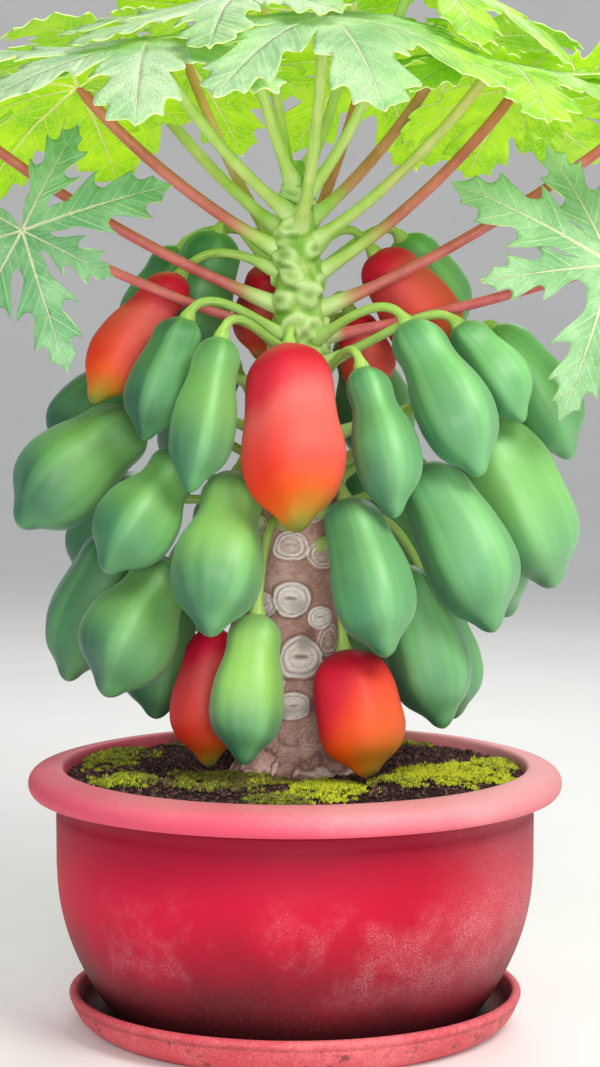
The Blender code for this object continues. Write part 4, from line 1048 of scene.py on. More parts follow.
# Azimuth, height and reach of the stalk end; tilt outwards from hanging straight down; length;
# largest radius; how much the neck narrows; and ripeness from 0 to 1
FRUITS = {
    "fruit_front_ripe": (276, 0.636, 0.070, 24, 0.178, 0.0470, -0.02, 1.0),
    "fruit_front_right": (305, 0.620, 0.098, 20, 0.142, 0.0302, 0.20, 0.0),
    "fruit_front_left": (230, 0.648, 0.112, 15, 0.143, 0.0295, 0.14, 0.1),
    "fruit_middle_left": (238, 0.532, 0.095, 24, 0.158, 0.0410, 0.20, 0.2),
    "fruit_middle_right": (301, 0.503, 0.096, 20, 0.152, 0.0368, 0.04, 0.0),
    "fruit_low_left": (247, 0.397, 0.088, 14, 0.138, 0.0340, 0.14, 0.3),
    "fruit_low_left_ripe": (202, 0.378, 0.080, 4, 0.130, 0.0310, 0.05, 1.0),
    "fruit_low_right_ripe": (301, 0.357, 0.092, 14, 0.118, 0.0400, -0.06, 0.9),
    "fruit_upper_right": (321, 0.650, 0.106, 28, 0.158, 0.0355, 0.16, 0.0),
    "fruit_right_ribbed": (331, 0.531, 0.124, 27, 0.168, 0.0425, 0.04, 0.0),
    "fruit_right_large": (0, 0.578, 0.172, 22, 0.176, 0.0465, -0.10, 0.1),
    "fruit_right_upper": (350, 0.650, 0.148, 32, 0.108, 0.0275, 0.10, 0.0),
    "fruit_right_shoulder": (8, 0.645, 0.176, 30, 0.148, 0.0335, 0.05, 0.0),
    "fruit_right_top_ripe": (18, 0.731, 0.062, 36, 0.124, 0.0370, 0.05, 0.95),
    "fruit_right_top": (36, 0.735, 0.122, 38, 0.118, 0.0320, 0.05, 0.0),
    "fruit_right_inner_ripe": (36, 0.676, 0.080, 12, 0.085, 0.0260, 0.05, 0.9),
    "fruit_left_inner_ripe": (110, 0.712, 0.070, 20, 0.098, 0.0290, 0.05, 1.0),
    "fruit_left_top": (150, 0.745, 0.080, 20, 0.135, 0.0370, 0.05, 0.0),
    "fruit_left_top_back": (136, 0.728, 0.146, 32, 0.122, 0.0330, 0.10, 0.0),
    "fruit_left_upper_ripe": (190, 0.703, 0.086, 34, 0.148, 0.0300, 0.15, 0.85),
    "fruit_left_upper": (210, 0.654, 0.108, 13, 0.118, 0.0295, 0.10, 0.0),
    "fruit_left_large": (182, 0.594, 0.150, 38, 0.152, 0.0450, 0.10, 0.1),
    "fruit_left_shoulder": (159, 0.616, 0.164, 46, 0.120, 0.0330, 0.05, 0.0),
    "fruit_left_middle": (211, 0.552, 0.115, 26, 0.135, 0.0375, 0.24, 0.1),
    "fruit_left_low": (201, 0.449, 0.122, 26, 0.142, 0.0440, 0.20, 0.1),
    "fruit_left_low_outer": (169, 0.462, 0.162, 20, 0.155, 0.0380, 0.05, 0.0),
    "fruit_left_back_middle": (146, 0.506, 0.170, 40, 0.130, 0.0370, 0.10, 0.0),
    "fruit_left_back_low": (158, 0.400, 0.125, 12, 0.122, 0.0360, 0.10, 0.0),
    "fruit_right_low": (335, 0.440, 0.110, 13, 0.155, 0.0385, 0.08, 0.0),
    "fruit_right_back_low": (15, 0.404, 0.128, 12, 0.125, 0.0360, 0.05, 0.0),
    "fruit_right_back_middle": (24, 0.490, 0.160, 30, 0.135, 0.0380, 0.10, 0.0),
    "fruit_back_upper_right": (62, 0.650, 0.120, 28, 0.155, 0.0380, 0.20, 0.0),
    "fruit_back_upper": (92, 0.640, 0.110, 26, 0.160, 0.0400, 0.10, 0.9),
    "fruit_back_upper_left": (122, 0.630, 0.130, 30, 0.155, 0.0380, 0.20, 0.0),
    "fruit_back_middle_right": (55, 0.520, 0.120, 26, 0.160, 0.0410, 0.10, 0.0),
    "fruit_back_middle": (88, 0.510, 0.115, 24, 0.158, 0.0400, 0.20, 0.0),
    "fruit_back_middle_left": (120, 0.490, 0.125, 24, 0.155, 0.0410, 0.20, 0.1),
    "fruit_back_low_right": (60, 0.400, 0.105, 14, 0.130, 0.0370, 0.10, 0.0),
    "fruit_back_low_left": (108, 0.395, 0.105, 12, 0.128, 0.0360, 0.10, 0.8),
}
SOIL_HEIGHT = 0.240
FRUIT_ANGLES = 5
FRUIT_ANGLE_DEPTH = 0.035
FRUIT_BOW = 0.035
FRUIT_CLEARANCE = 0.0020
BALLS = 10
SETTLING_ROUNDS = 500
SETTLING_PULL = 0.03
SOIL_CLEARANCE = -0.003
STALK_RINGS = 4
STALK_RADIUS = 0.0052
STALK_SINK = 0.010
STALK_SWINGS = (0, 12, -12, 24, -24, 38, -38, 55, -55, 75, -75)
STALK_RISES = (0.0, 0.02, -0.02, 0.04, -0.04, 0.06, -0.06, 0.08, -0.08, -0.11)
STALK_ARCHES = (0.022, 0.010, 0.036)
STALK_CLEARANCE = 0.0015
STALK_STEPS = 30
STALK_SIDES = 14
STALK_DRAWN_RADIUS = 0.0043
STICK_BALLS = 7


def spread(path, steps):
    """Points spread evenly along each straight stretch of a path."""
    shares = [i / steps for i in range(steps)]
    return [path[i] * (1 - s) + path[i + 1] * s for i in range(len(path) - 1) for s in shares]


def fruit_radius(share, neck):
    """Radius at a share of the way from stalk to tip, as a part of the largest one."""
    shoulder = np.sqrt(1 - np.maximum(0.0, 1 - share / 0.19) ** 2)
    swell = 0.74 + 0.26 * smooth_step(share / 0.62)
    narrow = 1 - neck * np.exp(-(((share - 0.27) / 0.14) ** 2))
    past = np.clip((share - 0.62) / 0.38, 0.0, 1.0)
    tail = np.cos(math.pi / 2 * past) ** 0.62 * (1 - 0.26 * np.exp(-(((past - 0.80) / 0.20) ** 2)))
    return shoulder * swell * narrow * tail


def fruit_axes(tops, downs, lengths, shares):
    """Points on each fruit's own axis, which bows outwards a little."""
    flat = tops * np.array((1.0, 1.0, 0.0))
    flat = flat / np.sqrt((flat * flat).sum(axis=1))[:, None]
    bow = flat - downs * (flat * downs).sum(axis=1)[:, None]
    bow = bow / np.sqrt((bow * bow).sum(axis=1))[:, None]
    hang = (lengths[:, None] * shares)[:, :, None]
    sag = (FRUIT_BOW * lengths[:, None] * 4 * shares * (1 - shares))[:, :, None]
    return tops[:, None, :] + downs[:, None, :] * hang + bow[:, None, :] * sag


def settled_fruits(sticks):
    """Pushes the hanging fruits apart until none presses into another, the trunk, a petiole or the soil.

    sticks are the centres and radii of balls along the trunk and the petioles."""
    fruits = np.array(list(FRUITS.values()), dtype=float)
    count = len(fruits)
    wish_top = np.array([place(f[0], f[2], f[1]) for f in fruits])
    tilts = np.radians(fruits[:, 3])
    wish_down = np.array([outward(f[0]) for f in fruits]) * np.sin(tilts)[:, None]
    wish_down[:, 2] = -np.cos(tilts)
    tops, downs = wish_top.copy(), wish_down.copy()
    lengths = fruits[:, 4]
    shares = np.linspace(0.11, 0.92, BALLS)
    widest = fruits[:, 5:6] * (1 + FRUIT_ANGLE_DEPTH)
    radii = (widest * fruit_radius(shares, fruits[:, 6:7]) + FRUIT_CLEARANCE).ravel()
    owner = np.repeat(np.arange(count), BALLS)
    apart_at_least = np.where(owner[:, None] != owner, radii[:, None] + radii, 0.0)
    near = (sticks[0][:, 2] < 0.84) & (np.hypot(sticks[0][:, 0], sticks[0][:, 1]) < 0.34)
    stick_centres, stick_radii = sticks[0][near], sticks[1][near]
    for turn in range(SETTLING_ROUNDS):
        centres = fruit_axes(tops, downs, lengths, shares)
        balls = centres.reshape(-1, 3)
        push = np.zeros_like(balls)
        squares = (balls * balls).sum(axis=1)
        apart = squares[:, None] + squares - 2 * balls @ balls.T
        first, second = np.nonzero(apart < apart_at_least**2)
        away = balls[first] - balls[second]
        gap = np.sqrt((away * away).sum(axis=1)) + 1e-9
        depth = (radii[first] + radii[second] - gap).clip(min=0.0)
        np.add.at(push, first, 0.5 * away * (depth / gap)[:, None])
        apart = squares[:, None] + (stick_centres**2).sum(axis=1) - 2 * balls @ stick_centres.T
        depth = radii[:, None] + stick_radii - np.sqrt(apart.clip(min=0.0))
        deepest = depth.argmax(axis=1)
        away = balls - stick_centres[deepest]
        gap = np.sqrt((away * away).sum(axis=1)) + 1e-9
        depth = (radii + stick_radii[deepest] - gap).clip(min=0.0)
        push += away * (depth / gap)[:, None]
        push[:, 2] += (SOIL_HEIGHT + 0.0015 + SOIL_CLEARANCE + radii - balls[:, 2]).clip(min=0.0)
        pull = SETTLING_PULL * max(0.0, 1 - turn / (0.6 * SETTLING_ROUNDS))
        push = push.reshape(count, BALLS, 3)
        middles = tops + downs * lengths[:, None] * 0.5
        arms = centres - middles[:, None, :]
        hits = (np.abs(push).sum(axis=2) > 0).sum(axis=1).clip(min=1)[:, None]
        shift = push.sum(axis=1) / hits * 0.55
        spin = np.cross(arms, push).sum(axis=1) / (hits * (lengths[:, None] * 0.4) ** 2) * 0.35
        middles = middles + shift
        downs = downs + np.cross(spin, downs) + pull * (wish_down - downs)
        downs = downs / np.sqrt((downs * downs).sum(axis=1))[:, None]
        tops = middles - downs * lengths[:, None] * 0.5
        tops = tops + pull * (wish_top - tops)
    return tops, downs, fruit_axes(tops, downs, lengths, shares), radii.reshape(count, BALLS)


def stalk_path(top, down, azimuth, height, arch, count):
    """From the trunk's middle, out and over, and down into the fruit's stalk end."""
    start = trunk_centre(height)
    edge = start + outward(azimuth) * trunk_radius(height)
    run = top - edge
    length = max(0.02, math.sqrt((run * run).sum()))
    leave = edge + outward(azimuth) * length * 0.45 + np.array((0.0, 0.0, arch))
    above = top - down * (0.012 + arch)
    curve = bezier(edge, leave, above, top, count - 2)
    return np.concatenate([[start], curve, [top + down * STALK_SINK]])


def stalk_points(top, down, way):
    """Points along the free stretch of a stalk, between the trunk's bark and the fruit."""
    free = stalk_path(top, down, *way, STALK_RINGS + 2)[1:-1]
    return np.array(spread(free, STICK_BALLS)[1:])


def grown_stalks(tops, downs, balls, radii, sticks):
    """Each stalk takes the first of its ways to the trunk that is clear, or else the clearest."""
    ways = [(swing, rise, arch) for arch in STALK_ARCHES for rise in STALK_RISES for swing in STALK_SWINGS]
    costs = [abs(s) / 60 + abs(r) / 0.06 + abs(a - STALK_ARCHES[0]) / 0.05 for s, r, a in ways]
    order = sorted(range(len(ways)), key=lambda i: costs[i])
    taken_centres, taken_radii = [sticks[0]], [sticks[1]]
    chosen = []
    for own, (top, down) in enumerate(zip(tops, downs)):
        others = [i for i in range(len(tops)) if i != own]
        centres = np.concatenate([balls[others].reshape(-1, 3)] + taken_centres)
        widths = np.concatenate([radii[others].ravel()] + taken_radii)
        close = ((centres - top) ** 2).sum(axis=1) < 0.30**2
        centres, widths = centres[close], widths[close]
        azimuth = math.degrees(math.atan2(top[1], top[0]))
        lift = np.interp(top[2], (0.36, 0.40, 0.50), (0.115, 0.075, -0.015))
        best = None
        for i in order:
            if best and STALK_CLEARANCE * 1000 - 0.1 * costs[i] <= best[0]:
                break
            swing, rise, arch = ways[i]
            way = (azimuth + swing, top[2] + rise + lift, arch)
            away = stalk_points(top, down, way)[:, None, :] - centres
            room = (np.sqrt((away**2).sum(axis=2)) - widths).min() - STALK_RADIUS
            score = min(room, STALK_CLEARANCE) * 1000 - 0.1 * costs[i]
            if best is None or score > best[0]:
                best = (score, way)
        chosen.append(best[1])
        path = stalk_points(top, down, best[1])
        taken_centres.append(path)
        taken_radii.append(np.full(len(path), STALK_RADIUS))
    return chosen


trunk_levels = [TRUNK_FOOT + (TRUNK_TIP - TRUNK_FOOT) * i / 59 for i in range(60)]
trunk_balls = np.array([trunk_centre(z) for z in trunk_levels])
trunk_ball_radii = np.array([trunk_radius(z) + 0.002 for z in trunk_levels])
petiole_balls, petiole_ball_radii = [], []
for leaf in LEAVES.values():
    path, widths = petiole_path(leaf, PETIOLE_RINGS), petiole_radii(leaf, PETIOLE_RINGS)
    petiole_balls += spread(path, STICK_BALLS)
    for first, second in zip(widths, widths[1:]):
        petiole_ball_radii += [max(first, second) + 0.0015] * STICK_BALLS
petiole_sticks = (np.array(petiole_balls), np.array(petiole_ball_radii))
all_sticks = (
    np.concatenate([trunk_balls, petiole_sticks[0]]),
    np.concatenate([trunk_ball_radii, petiole_sticks[1]]),
)
tops, downs, fruit_balls, ball_radii = settled_fruits(all_sticks)
stalk_ways = grown_stalks(tops, downs, fruit_balls, ball_radii, petiole_sticks)

CREST_DEPTH = 0.036
NOSE_LEAN = 0.003
LUMP_DEPTH = 0.0018
FLESH_SIDES = 50
FLESH_RINGS = 46
flesh_faces, flesh_corners = rolled(FLESH_RINGS, FLESH_SIDES)
flesh_shares = 0.5 - 0.5 * np.cos(np.linspace(0.035, math.pi - 0.028, FLESH_RINGS))
flesh_turns = full_turn(FLESH_SIDES)
# The side the light comes from: each fruit's cheek on that side gets painted light
PAINTED_LIGHT_SIDE = np.array((0.88, -0.47, 0.0))
# How much a fruit is drawn in at its waist, where that is, and over how much of the length
WAISTS = {"fruit_front_ripe": 0.07, "fruit_left_upper_ripe": 0.03}
WAIST_SHARE = 0.40
WAIST_SPREAD = 0.15
# Ripe fruits whose upper half is a deeper crimson
CRIMSON_FRUITS = {"fruit_low_right_ripe": 1.0, "fruit_low_left_ripe": 0.3, "fruit_right_top_ripe": 0.3}


def fruit_flesh(name, top, down, fruit, draw):
    """Rings round the bowed axis, a little five-angled, with a blunt nose at the tip."""
    length, radius, neck = fruit[4], fruit[5], fruit[6]
    side = unit(np.cross(down, np.array((0.0, 0.0, 1.0))) + outward(fruit[0]) * 1e-6)
    other = np.cross(down, side)
    axis = fruit_axes(top[None, :], down[None, :], np.array([length]), flesh_shares)[0]
    hollow = WAISTS.get(name, 0.0) * hump(flesh_shares, WAIST_SHARE, WAIST_SPREAD)
    widths = radius * fruit_radius(flesh_shares, neck) * (1 - hollow)
    wave = np.cos(FRUIT_ANGLES * flesh_turns)
    angled = 1 + CREST_DEPTH * (0.70 * wave + 0.30 * wave**3)
    ring = np.cos(flesh_turns)[:, None] * side + np.sin(flesh_turns)[:, None] * other
    rings = axis[:, None, :] + ring[None, :, :] * (widths[:, None] * angled[None, :])[:, :, None]
    lean = draw.uniform(0, 2 * math.pi)
    nose = NOSE_LEAN * (math.cos(lean) * side + math.sin(lean) * other)
    bent = smooth_step((flesh_shares - 0.70) / 0.25)
    points = (rings + (bent[:, None] * nose)[:, None, :]).reshape(-1, 3)
    lumps = rough(points, 17, draw.uniform(0, 9)) + 0.4 * rough(points, 40, draw.uniform(0, 9))
    wide = np.repeat(widths, FLESH_SIDES) / radius
    points = points + np.tile(ring, (FLESH_RINGS, 1)) * (LUMP_DEPTH * lumps * wide)[:, None]
    ends = fruit_axes(top[None, :], down[None, :], np.array([length]), np.array([0.0, 1.0]))[0]
    ends[1] += nose
    tone = CRIMSON_FRUITS.get(name, 0.0) if fruit[7] > 0.5 else fruit[7]
    cheek = np.append(np.tile(ring, (FLESH_RINGS, 1)) @ PAINTED_LIGHT_SIDE, (0.0, 0.0))
    return new_piece(
        name + "_flesh", np.concatenate([points, ends]), flesh_faces, flesh_corners,
        tone=tone, shift=draw.uniform(-1, 1), cheek=cheek,
    )


green_skin, skin = new_finish(
    "green_skin", Specular_IOR_Level=0.46, Sheen_Weight=0.18, Sheen_Roughness=0.40,
    Sheen_Tint=(0.60, 0.84, 0.88, 1.0),
)
flat = skin.node("UVMap", {})
along = flat.part("Y")
around = flat.part("X")
spot = skin.place()
blotch = spot.speckle(16, 3, 0.5)
grain = spot.speckle(520, 2, 0.6)
brushed = flat.scaled(9.0, 0.9, 1.0).speckle(1.6, 3, 0.5)
shift = skin.mark("shift")
yellow = skin.mark("tone")
crest = (around * (2 * math.pi * FRUIT_ANGLES) + math.pi / 2).waves()
deep = (blotch * 0.9 + shift * 0.06).between(0.26, 0.66).mix(tint(26, 84, 62), tint(54, 120, 78))
# Painted highlights along the five crests, with faint lengthwise streaks
light = crest.between(0.30, 1.0) * 0.20 + brushed.between(0.42, 0.72) * 0.10
light = light * (1 - along.between(0.60, 0.92))
# Painted light on the lit cheek of each fruit, and more on the fruits at the right of the tree
painted_right_light = spot.part("X") * (spot.part("Z") - 0.34).between(0.0, 0.14)
light = (light + skin.mark("cheek").between(-0.5, 1.0) * 0.44 + painted_right_light * 0.9) * along.between(0.02, 0.2)
light = light.most(0.0).least(0.9)
shade = light.mix(deep, tint(140, 208, 134))
# Painted shade in the furrows between the crests
furrow_shade = (1 - crest).between(1.2, 2.0) * 0.14 * (1 - along.between(0.65, 0.92))
shade = furrow_shade.mix(shade, tint(44, 104, 84))
neck_glow = 1 - (along + (blotch - 0.5) * 0.10).between(0.02, 0.18)
girdle = (1 - (along - 0.42).size().between(0.04, 0.26)) * (0.16 + yellow * 1.8)
shade = (neck_glow * 0.6).most(girdle).least(0.80).mix(shade, tint(130, 196, 92))
shade = (yellow * 1.4 * (1 - along.between(0.40, 0.76))).least(0.6).mix(shade, tint(164, 206, 86))
tip = along.between(0.90, 0.975)
shade = (tip * 0.45).mix(shade, tint(112, 166, 104))
end = along.between(0.988, 0.998)
shade = (end * 0.8).mix(shade, tint(104, 92, 56))
gloss = 0.44 + (grain - 0.5) * 0.12 + (blotch - 0.5) * 0.10
lay_on(green_skin, shade, gloss, grain * 0.05 + blotch * 0.3, 0.0008)

ripe_skin, skin = new_finish(
    "ripe_skin", Specular_IOR_Level=0.22, Sheen_Weight=0.03, Sheen_Roughness=0.45,
    Sheen_Tint=(1.0, 0.66, 0.70, 1.0),
)
flat = skin.node("UVMap", {})
along = flat.part("Y")
spot = skin.place()
blotch = spot.speckle(16, 3, 0.5)
grain = spot.speckle(520, 2, 0.6)
cheek = skin.mark("cheek").between(-0.5, 1.0)
# The lit cheek, painted light, shifts the colours along and keeps the crimson to the shaded side
drift = along + (blotch - 0.5) * 0.10 + skin.mark("shift") * 0.02 + (cheek - 0.4) * 0.08
crimson = skin.mark("tone") * (1 - (drift + (cheek - 0.5) * 0.20).between(0.32, 0.60))
drift = drift + skin.mark("tone") * (0.46 - along * 0.60)
# Salmon at the stalk, a painted highlight on the shoulder; then crimson under it, coral, orange, and olive at
# the tip
RIPE_STOPS = (
    (0.0, tint(222, 112, 100)), (1.0, tint(104, 124, 50)),
    (0.08, tint(220, 84, 86)), (0.20, tint(202, 12, 52)), (0.35, tint(210, 22, 56)),
    (0.44, tint(226, 82, 84)), (0.54, tint(222, 64, 54)), (0.65, tint(222, 46, 14)),
    (0.74, tint(224, 82, 8)), (0.82, tint(186, 118, 26)), (0.885, tint(138, 124, 40)),
)
shade = drift.node("ValToRGB", {"Fac": drift}, stops=RIPE_STOPS)
shade = (crimson * 0.92).mix(shade, tint(190, 0, 44))
# Painted light: a paler coral on the lit cheek round the waist
painted_cheek_light = cheek * (1 - (along - 0.50).size().between(0.06, 0.30)) * (1 - skin.mark("tone") * 0.6)
shade = (painted_cheek_light * (0.22 + blotch * 0.34)).mix(shade, tint(238, 128, 120))
end = along.between(0.988, 0.998)
shade = (end * 0.8).mix(shade, tint(116, 92, 48))
gloss = 0.52 + (grain - 0.5) * 0.12 + (blotch - 0.5) * 0.12
lay_on(ripe_skin, shade, gloss, grain * 0.05 + blotch * 0.3, 0.0008)

stalk_skin, stem = new_finish("stalk_skin", Specular_IOR_Level=0.4)
flat = stem.node("UVMap", {})
along = flat.part("Y")
streak = flat.scaled(10.0, 1.4, 1.0).speckle(3.0, 4, 0.6)
lime = streak.between(0.36, 0.64).mix(tint(138, 184, 78), tint(186, 216, 118))
shade = (1 - along.between(0.04, 0.24)).mix(lime, tint(190, 220, 134))
lay_on(stalk_skin, shade, 0.5, streak, 0.0006)

for own, (name, fruit) in enumerate(FRUITS.items()):
    draw = random.Random(name)
    top, down = tops[own], downs[own]
    flesh = fruit_flesh(name, top, down, fruit, draw)
    ripe = fruit[7] > 0.5
    belongs(flesh, [ripe_skin if ripe else green_skin], "ripe_fruit" if ripe else "green_fruit", name)

    path = stalk_path(top, down, *stalk_ways[own], STALK_STEPS)
    shares = np.linspace(0, 1, len(path))
    radii = STALK_DRAWN_RADIUS * (
        1 + 0.75 * hump(shares, 0.0, 0.14) + 0.85 * smooth_step((shares - 0.86) / 0.12)
    )
    radii[-1] *= 0.6
    stalk = tube(name + "_stalk", path, list(radii), STALK_SIDES)
    belongs(stalk, [stalk_skin], "leaf", name)

# Soil and moss
# The bowl is filled to just under its rim with dark crumbly soil, heaped a little round the trunk.
# Cushions of bright moss have spread over it, brightest at the front and on the right.

SOIL_EDGE_HEIGHT = 0.236
SOIL_EDGE_RADIUS = 0.2155
SOIL_RINGS = 84
SOIL_SIDES = 250
SOIL_BOTTOM = 0.215
CRUMB_TRIES = 9000
SHOOT_TRIES = 44000
SHOOT_LEAVES = 4
# Moss cushions: centre, half width, half depth, and how bright they are
MOSS = (
    (-0.178, 0.078, 0.034, 0.072, 0.45), (-0.158, -0.072, 0.034, 0.036, 0.50),
    (-0.062, -0.070, 0.058, 0.052, 0.25), (0.026, -0.122, 0.036, 0.052, 0.95),
    (0.146, -0.040, 0.054, 0.052, 1.00), (0.192, 0.028, 0.024, 0.036, 0.70),
    (0.060, 0.165, 0.060, 0.028, 0.60), (-0.085, 0.172, 0.036, 0.024, 0.40),
    (-0.020, -0.172, 0.030, 0.020, 0.30), (0.090, -0.080, 0.022, 0.030, 0.60),
)


def soil_level(x, y):
    """Height of the soil before its crumbs."""
    reaches = (0.0, 0.085, 0.150, SOIL_EDGE_RADIUS)
    return np.interp(np.hypot(x, y), reaches, (SOIL_HEIGHT, SOIL_HEIGHT, 0.2415, SOIL_EDGE_HEIGHT))


def moss_depth(x, y):
    """How deep inside the nearest moss cushion a point is: 1 at its centre, and below 0 outside."""
    depths = [
        1 - np.hypot((x - centre_x) / half_x, (y - centre_y) / half_y)
        for centre_x, centre_y, half_x, half_y, _ in MOSS
    ]
    return np.maximum.reduce(depths)


rings = np.linspace(0.0, 1.0, SOIL_RINGS + 1)[1:] ** 0.8 * SOIL_EDGE_RADIUS
ring, turn = lattice(rings, full_turn(SOIL_SIDES))
ground = np.stack([ring * np.cos(turn), ring * np.sin(turn), np.zeros_like(ring)], axis=1)
ground[:, 2] = soil_level(ground[:, 0], ground[:, 1])
lumps = 0.0020 * rough(ground, 70, 21) + 0.0013 * rough(ground, 190, 22)
lumps += 0.0006 * rough(ground, 420, 23)
ragged_x = ground[:, 0] + 0.010 * rough(ground, 38, 25)
ragged_y = ground[:, 1] + 0.010 * rough(ground, 38, 26)
mound = moss_depth(ragged_x, ragged_y)
lumps += 0.0030 * smooth_step((mound + 0.15 * rough(ground, 90, 24)) / 0.5)
edge = smooth_step((SOIL_EDGE_RADIUS - ring) / 0.004)
ground[:, 2] += lumps * edge - 0.0010
skirt = ground[-SOIL_SIDES:].copy()
skirt[:, :2] *= 0.985
skirt[:, 2] = SOIL_BOTTOM
middles = [(0.0, 0.0, SOIL_HEIGHT - 0.0005), (0.0, 0.0, SOIL_BOTTOM)]
points = np.concatenate([ground, skirt, middles])
faces, _ = rolled(SOIL_RINGS + 1, SOIL_SIDES)
soil_piece = new_piece("soil_fill", points, [tuple(reversed(face)) for face in faces])


def scattered(name, shape, faces, spots, lean):
    """Copies of one small shape as a single mesh, each at its spot and size, turned and leant its own way."""
    draw = random.Random(name)
    points, all_faces = [], []
    for spot, size in spots:
        spin = draw.uniform(0, 2 * math.pi)
        tilt = draw.uniform(-lean, lean)
        other = draw.uniform(-lean, lean)
        cos, sin = math.cos(spin), math.sin(spin)
        turn = np.array(((cos, -sin, 0), (sin, cos, 0), (0, 0, 1)))
        cos, sin = math.cos(tilt), math.sin(tilt)
        pitch = np.array(((1, 0, 0), (0, cos, -sin), (0, sin, cos)))
        cos, sin = math.cos(other), math.sin(other)
        roll = np.array(((cos, 0, sin), (0, 1, 0), (-sin, 0, cos)))
        base = len(points)
        points += list((shape * size) @ (roll @ pitch @ turn).T + spot)
        all_faces += [tuple(base + i for i in face) for face in faces]
    return new_piece(name, np.array(points), all_faces)


def strewn(kinds, colours, shape, faces, lean, gloss, grain_scale, roughness):
    """A mesh and a finish for each kind of a small thing that lies on the soil."""
    for kind, spots in kinds.items():
        piece = scattered(kind, shape, faces, spots, lean)
        finish, wire = new_finish(kind, Specular_IOR_Level=gloss)
        grain = wire.place().speckle(grain_scale, 2)
        lay_on(finish, grain.between(0.35, 0.65).mix(*colours[kind]), roughness)
        belongs(piece, [finish], "soil", "soil")


bpy.ops.object.select_all(action="DESELECT")
bpy.ops.mesh.primitive_ico_sphere_add(subdivisions=1, radius=1.0)
pebble = bpy.context.object
pebble_points = np.array([tuple(v.co) for v in pebble.data.vertices])
pebble_faces = [tuple(p.vertices) for p in pebble.data.polygons]
bpy.data.objects.remove(pebble)

draw = random.Random(5)
crumb_kinds = {"soil_crumbs_dark": [], "soil_crumbs_brown": [], "soil_crumbs_red": []}
for i in range(CRUMB_TRIES):
    reach = SOIL_EDGE_RADIUS * math.sqrt(draw.uniform(0.04, 0.98))
    turn = draw.uniform(0, 2 * math.pi)
    x, y = reach * math.cos(turn), reach * math.sin(turn)
    if moss_depth(x, y) > 0.25 and draw.random() < 0.75:
        continue
    size = draw.uniform(0.0007, 0.0017) if draw.random() < 0.94 else draw.uniform(0.0017, 0.0032)
    flat_size = size * np.array((draw.uniform(0.7, 1.5), draw.uniform(0.6, 1.2), draw.uniform(0.5, 0.9)))
    z = float(soil_level(x, y)) + size * 0.4
    kind = draw.choices(list(crumb_kinds), weights=(5, 3, 2))[0]
    crumb_kinds[kind].append((np.array((x, y, z)), flat_size))
crumb_colours = {
    "soil_crumbs_dark": (tint(44, 30, 31), tint(70, 50, 48)),
    "soil_crumbs_brown": (tint(78, 54, 50), tint(112, 84, 74)),
    "soil_crumbs_red": (tint(96, 58, 60), tint(132, 88, 84)),
}
soil_earth, earth = new_finish("soil_earth", Specular_IOR_Level=0.2)
spot = earth.place()
grain = spot.speckle(300, 5, 0.75)
shade = grain.between(0.34, 0.70).mix(tint(30, 20, 19), tint(78, 54, 46))
lay_on(soil_earth, shade, 0.95, grain + spot.speckle(90, 3), 0.0030)
belongs(soil_piece, [soil_earth], "soil", "soil")
strewn(
    crumb_kinds, crumb_colours, pebble_points, pebble_faces,
    lean=0.6, gloss=0.2, grain_scale=700, roughness=0.93,
)

# A moss shoot: four narrow keeled leaves that spread from one point
shoot_points, shoot_faces = [], []
for k in range(SHOOT_LEAVES):
    turn = 2 * math.pi * k / SHOOT_LEAVES
    out = np.array((math.cos(turn), math.sin(turn), 0.0))
    aside = np.array((-math.sin(turn), math.cos(turn), 0.0))
    rise = np.array((0.0, 0.0, 1.0))
    root, left, right, keel, end = range(len(shoot_points), len(shoot_points) + 5)
    shoot_points += [
        out * 0.02, out * 0.28 + rise * 0.52 + aside * 0.21, out * 0.28 + rise * 0.52 - aside * 0.21,
        out * 0.36 + rise * 0.44, out * 0.58 + rise * 1.0,
    ]
    shoot_faces += [
        (root, right, left), (left, right, end), (root, left, keel),
        (root, keel, right), (end, keel, left), (end, right, keel),
    ]
shoot_points = np.array(shoot_points)
moss_kinds = {"moss_bright": [], "moss_green": [], "moss_olive": []}
draw = random.Random(8)
moss_areas = [half_x * half_y for _, _, half_x, half_y, _ in MOSS]
for i in range(SHOOT_TRIES):
    centre_x, centre_y, half_x, half_y, shine = draw.choices(MOSS, weights=moss_areas)[0]
    turn, out = draw.uniform(0, 2 * math.pi), math.sqrt(draw.random()) * 1.45
    x, y = centre_x + half_x * out * math.cos(turn), centre_y + half_y * out * math.sin(turn)
    ragged = out + 0.85 * noise.noise(Vector((x * 42, y * 42, 3.0)))
    ragged += 0.40 * noise.noise(Vector((x * 120, y * 120, 5.0)))
    if ragged > draw.uniform(0.72, 1.10) or not 0.052 < math.hypot(x, y) < SOIL_EDGE_RADIUS - 0.004:
        continue
    if draw.random() > 0.50:
        continue
    bright = shine + draw.uniform(-0.35, 0.35) + 0.5 * noise.noise(Vector((x * 45, y * 45, 9.0)))
    kind = "moss_bright" if bright > 0.72 else "moss_green" if bright > 0.38 else "moss_olive"
    inside = max(0.0, 1 - out)
    z = float(soil_level(x, y)) + 0.0028 * min(1.0, inside * 2.2) - 0.0006
    size = draw.uniform(0.0020, 0.0042)
    moss_kinds[kind].append((np.array((x, y, z)), np.array((size, size, size * draw.uniform(0.9, 1.4)))))
moss_colours = {
    "moss_bright": (tint(184, 196, 24), tint(222, 226, 58)),
    "moss_green": (tint(132, 148, 34), tint(172, 182, 56)),
    "moss_olive": (tint(98, 98, 42), tint(140, 130, 62)),
}
strewn(
    moss_kinds, moss_colours, shoot_points, shoot_faces,
    lean=0.5, gloss=0.3, grain_scale=240, roughness=0.8,
)

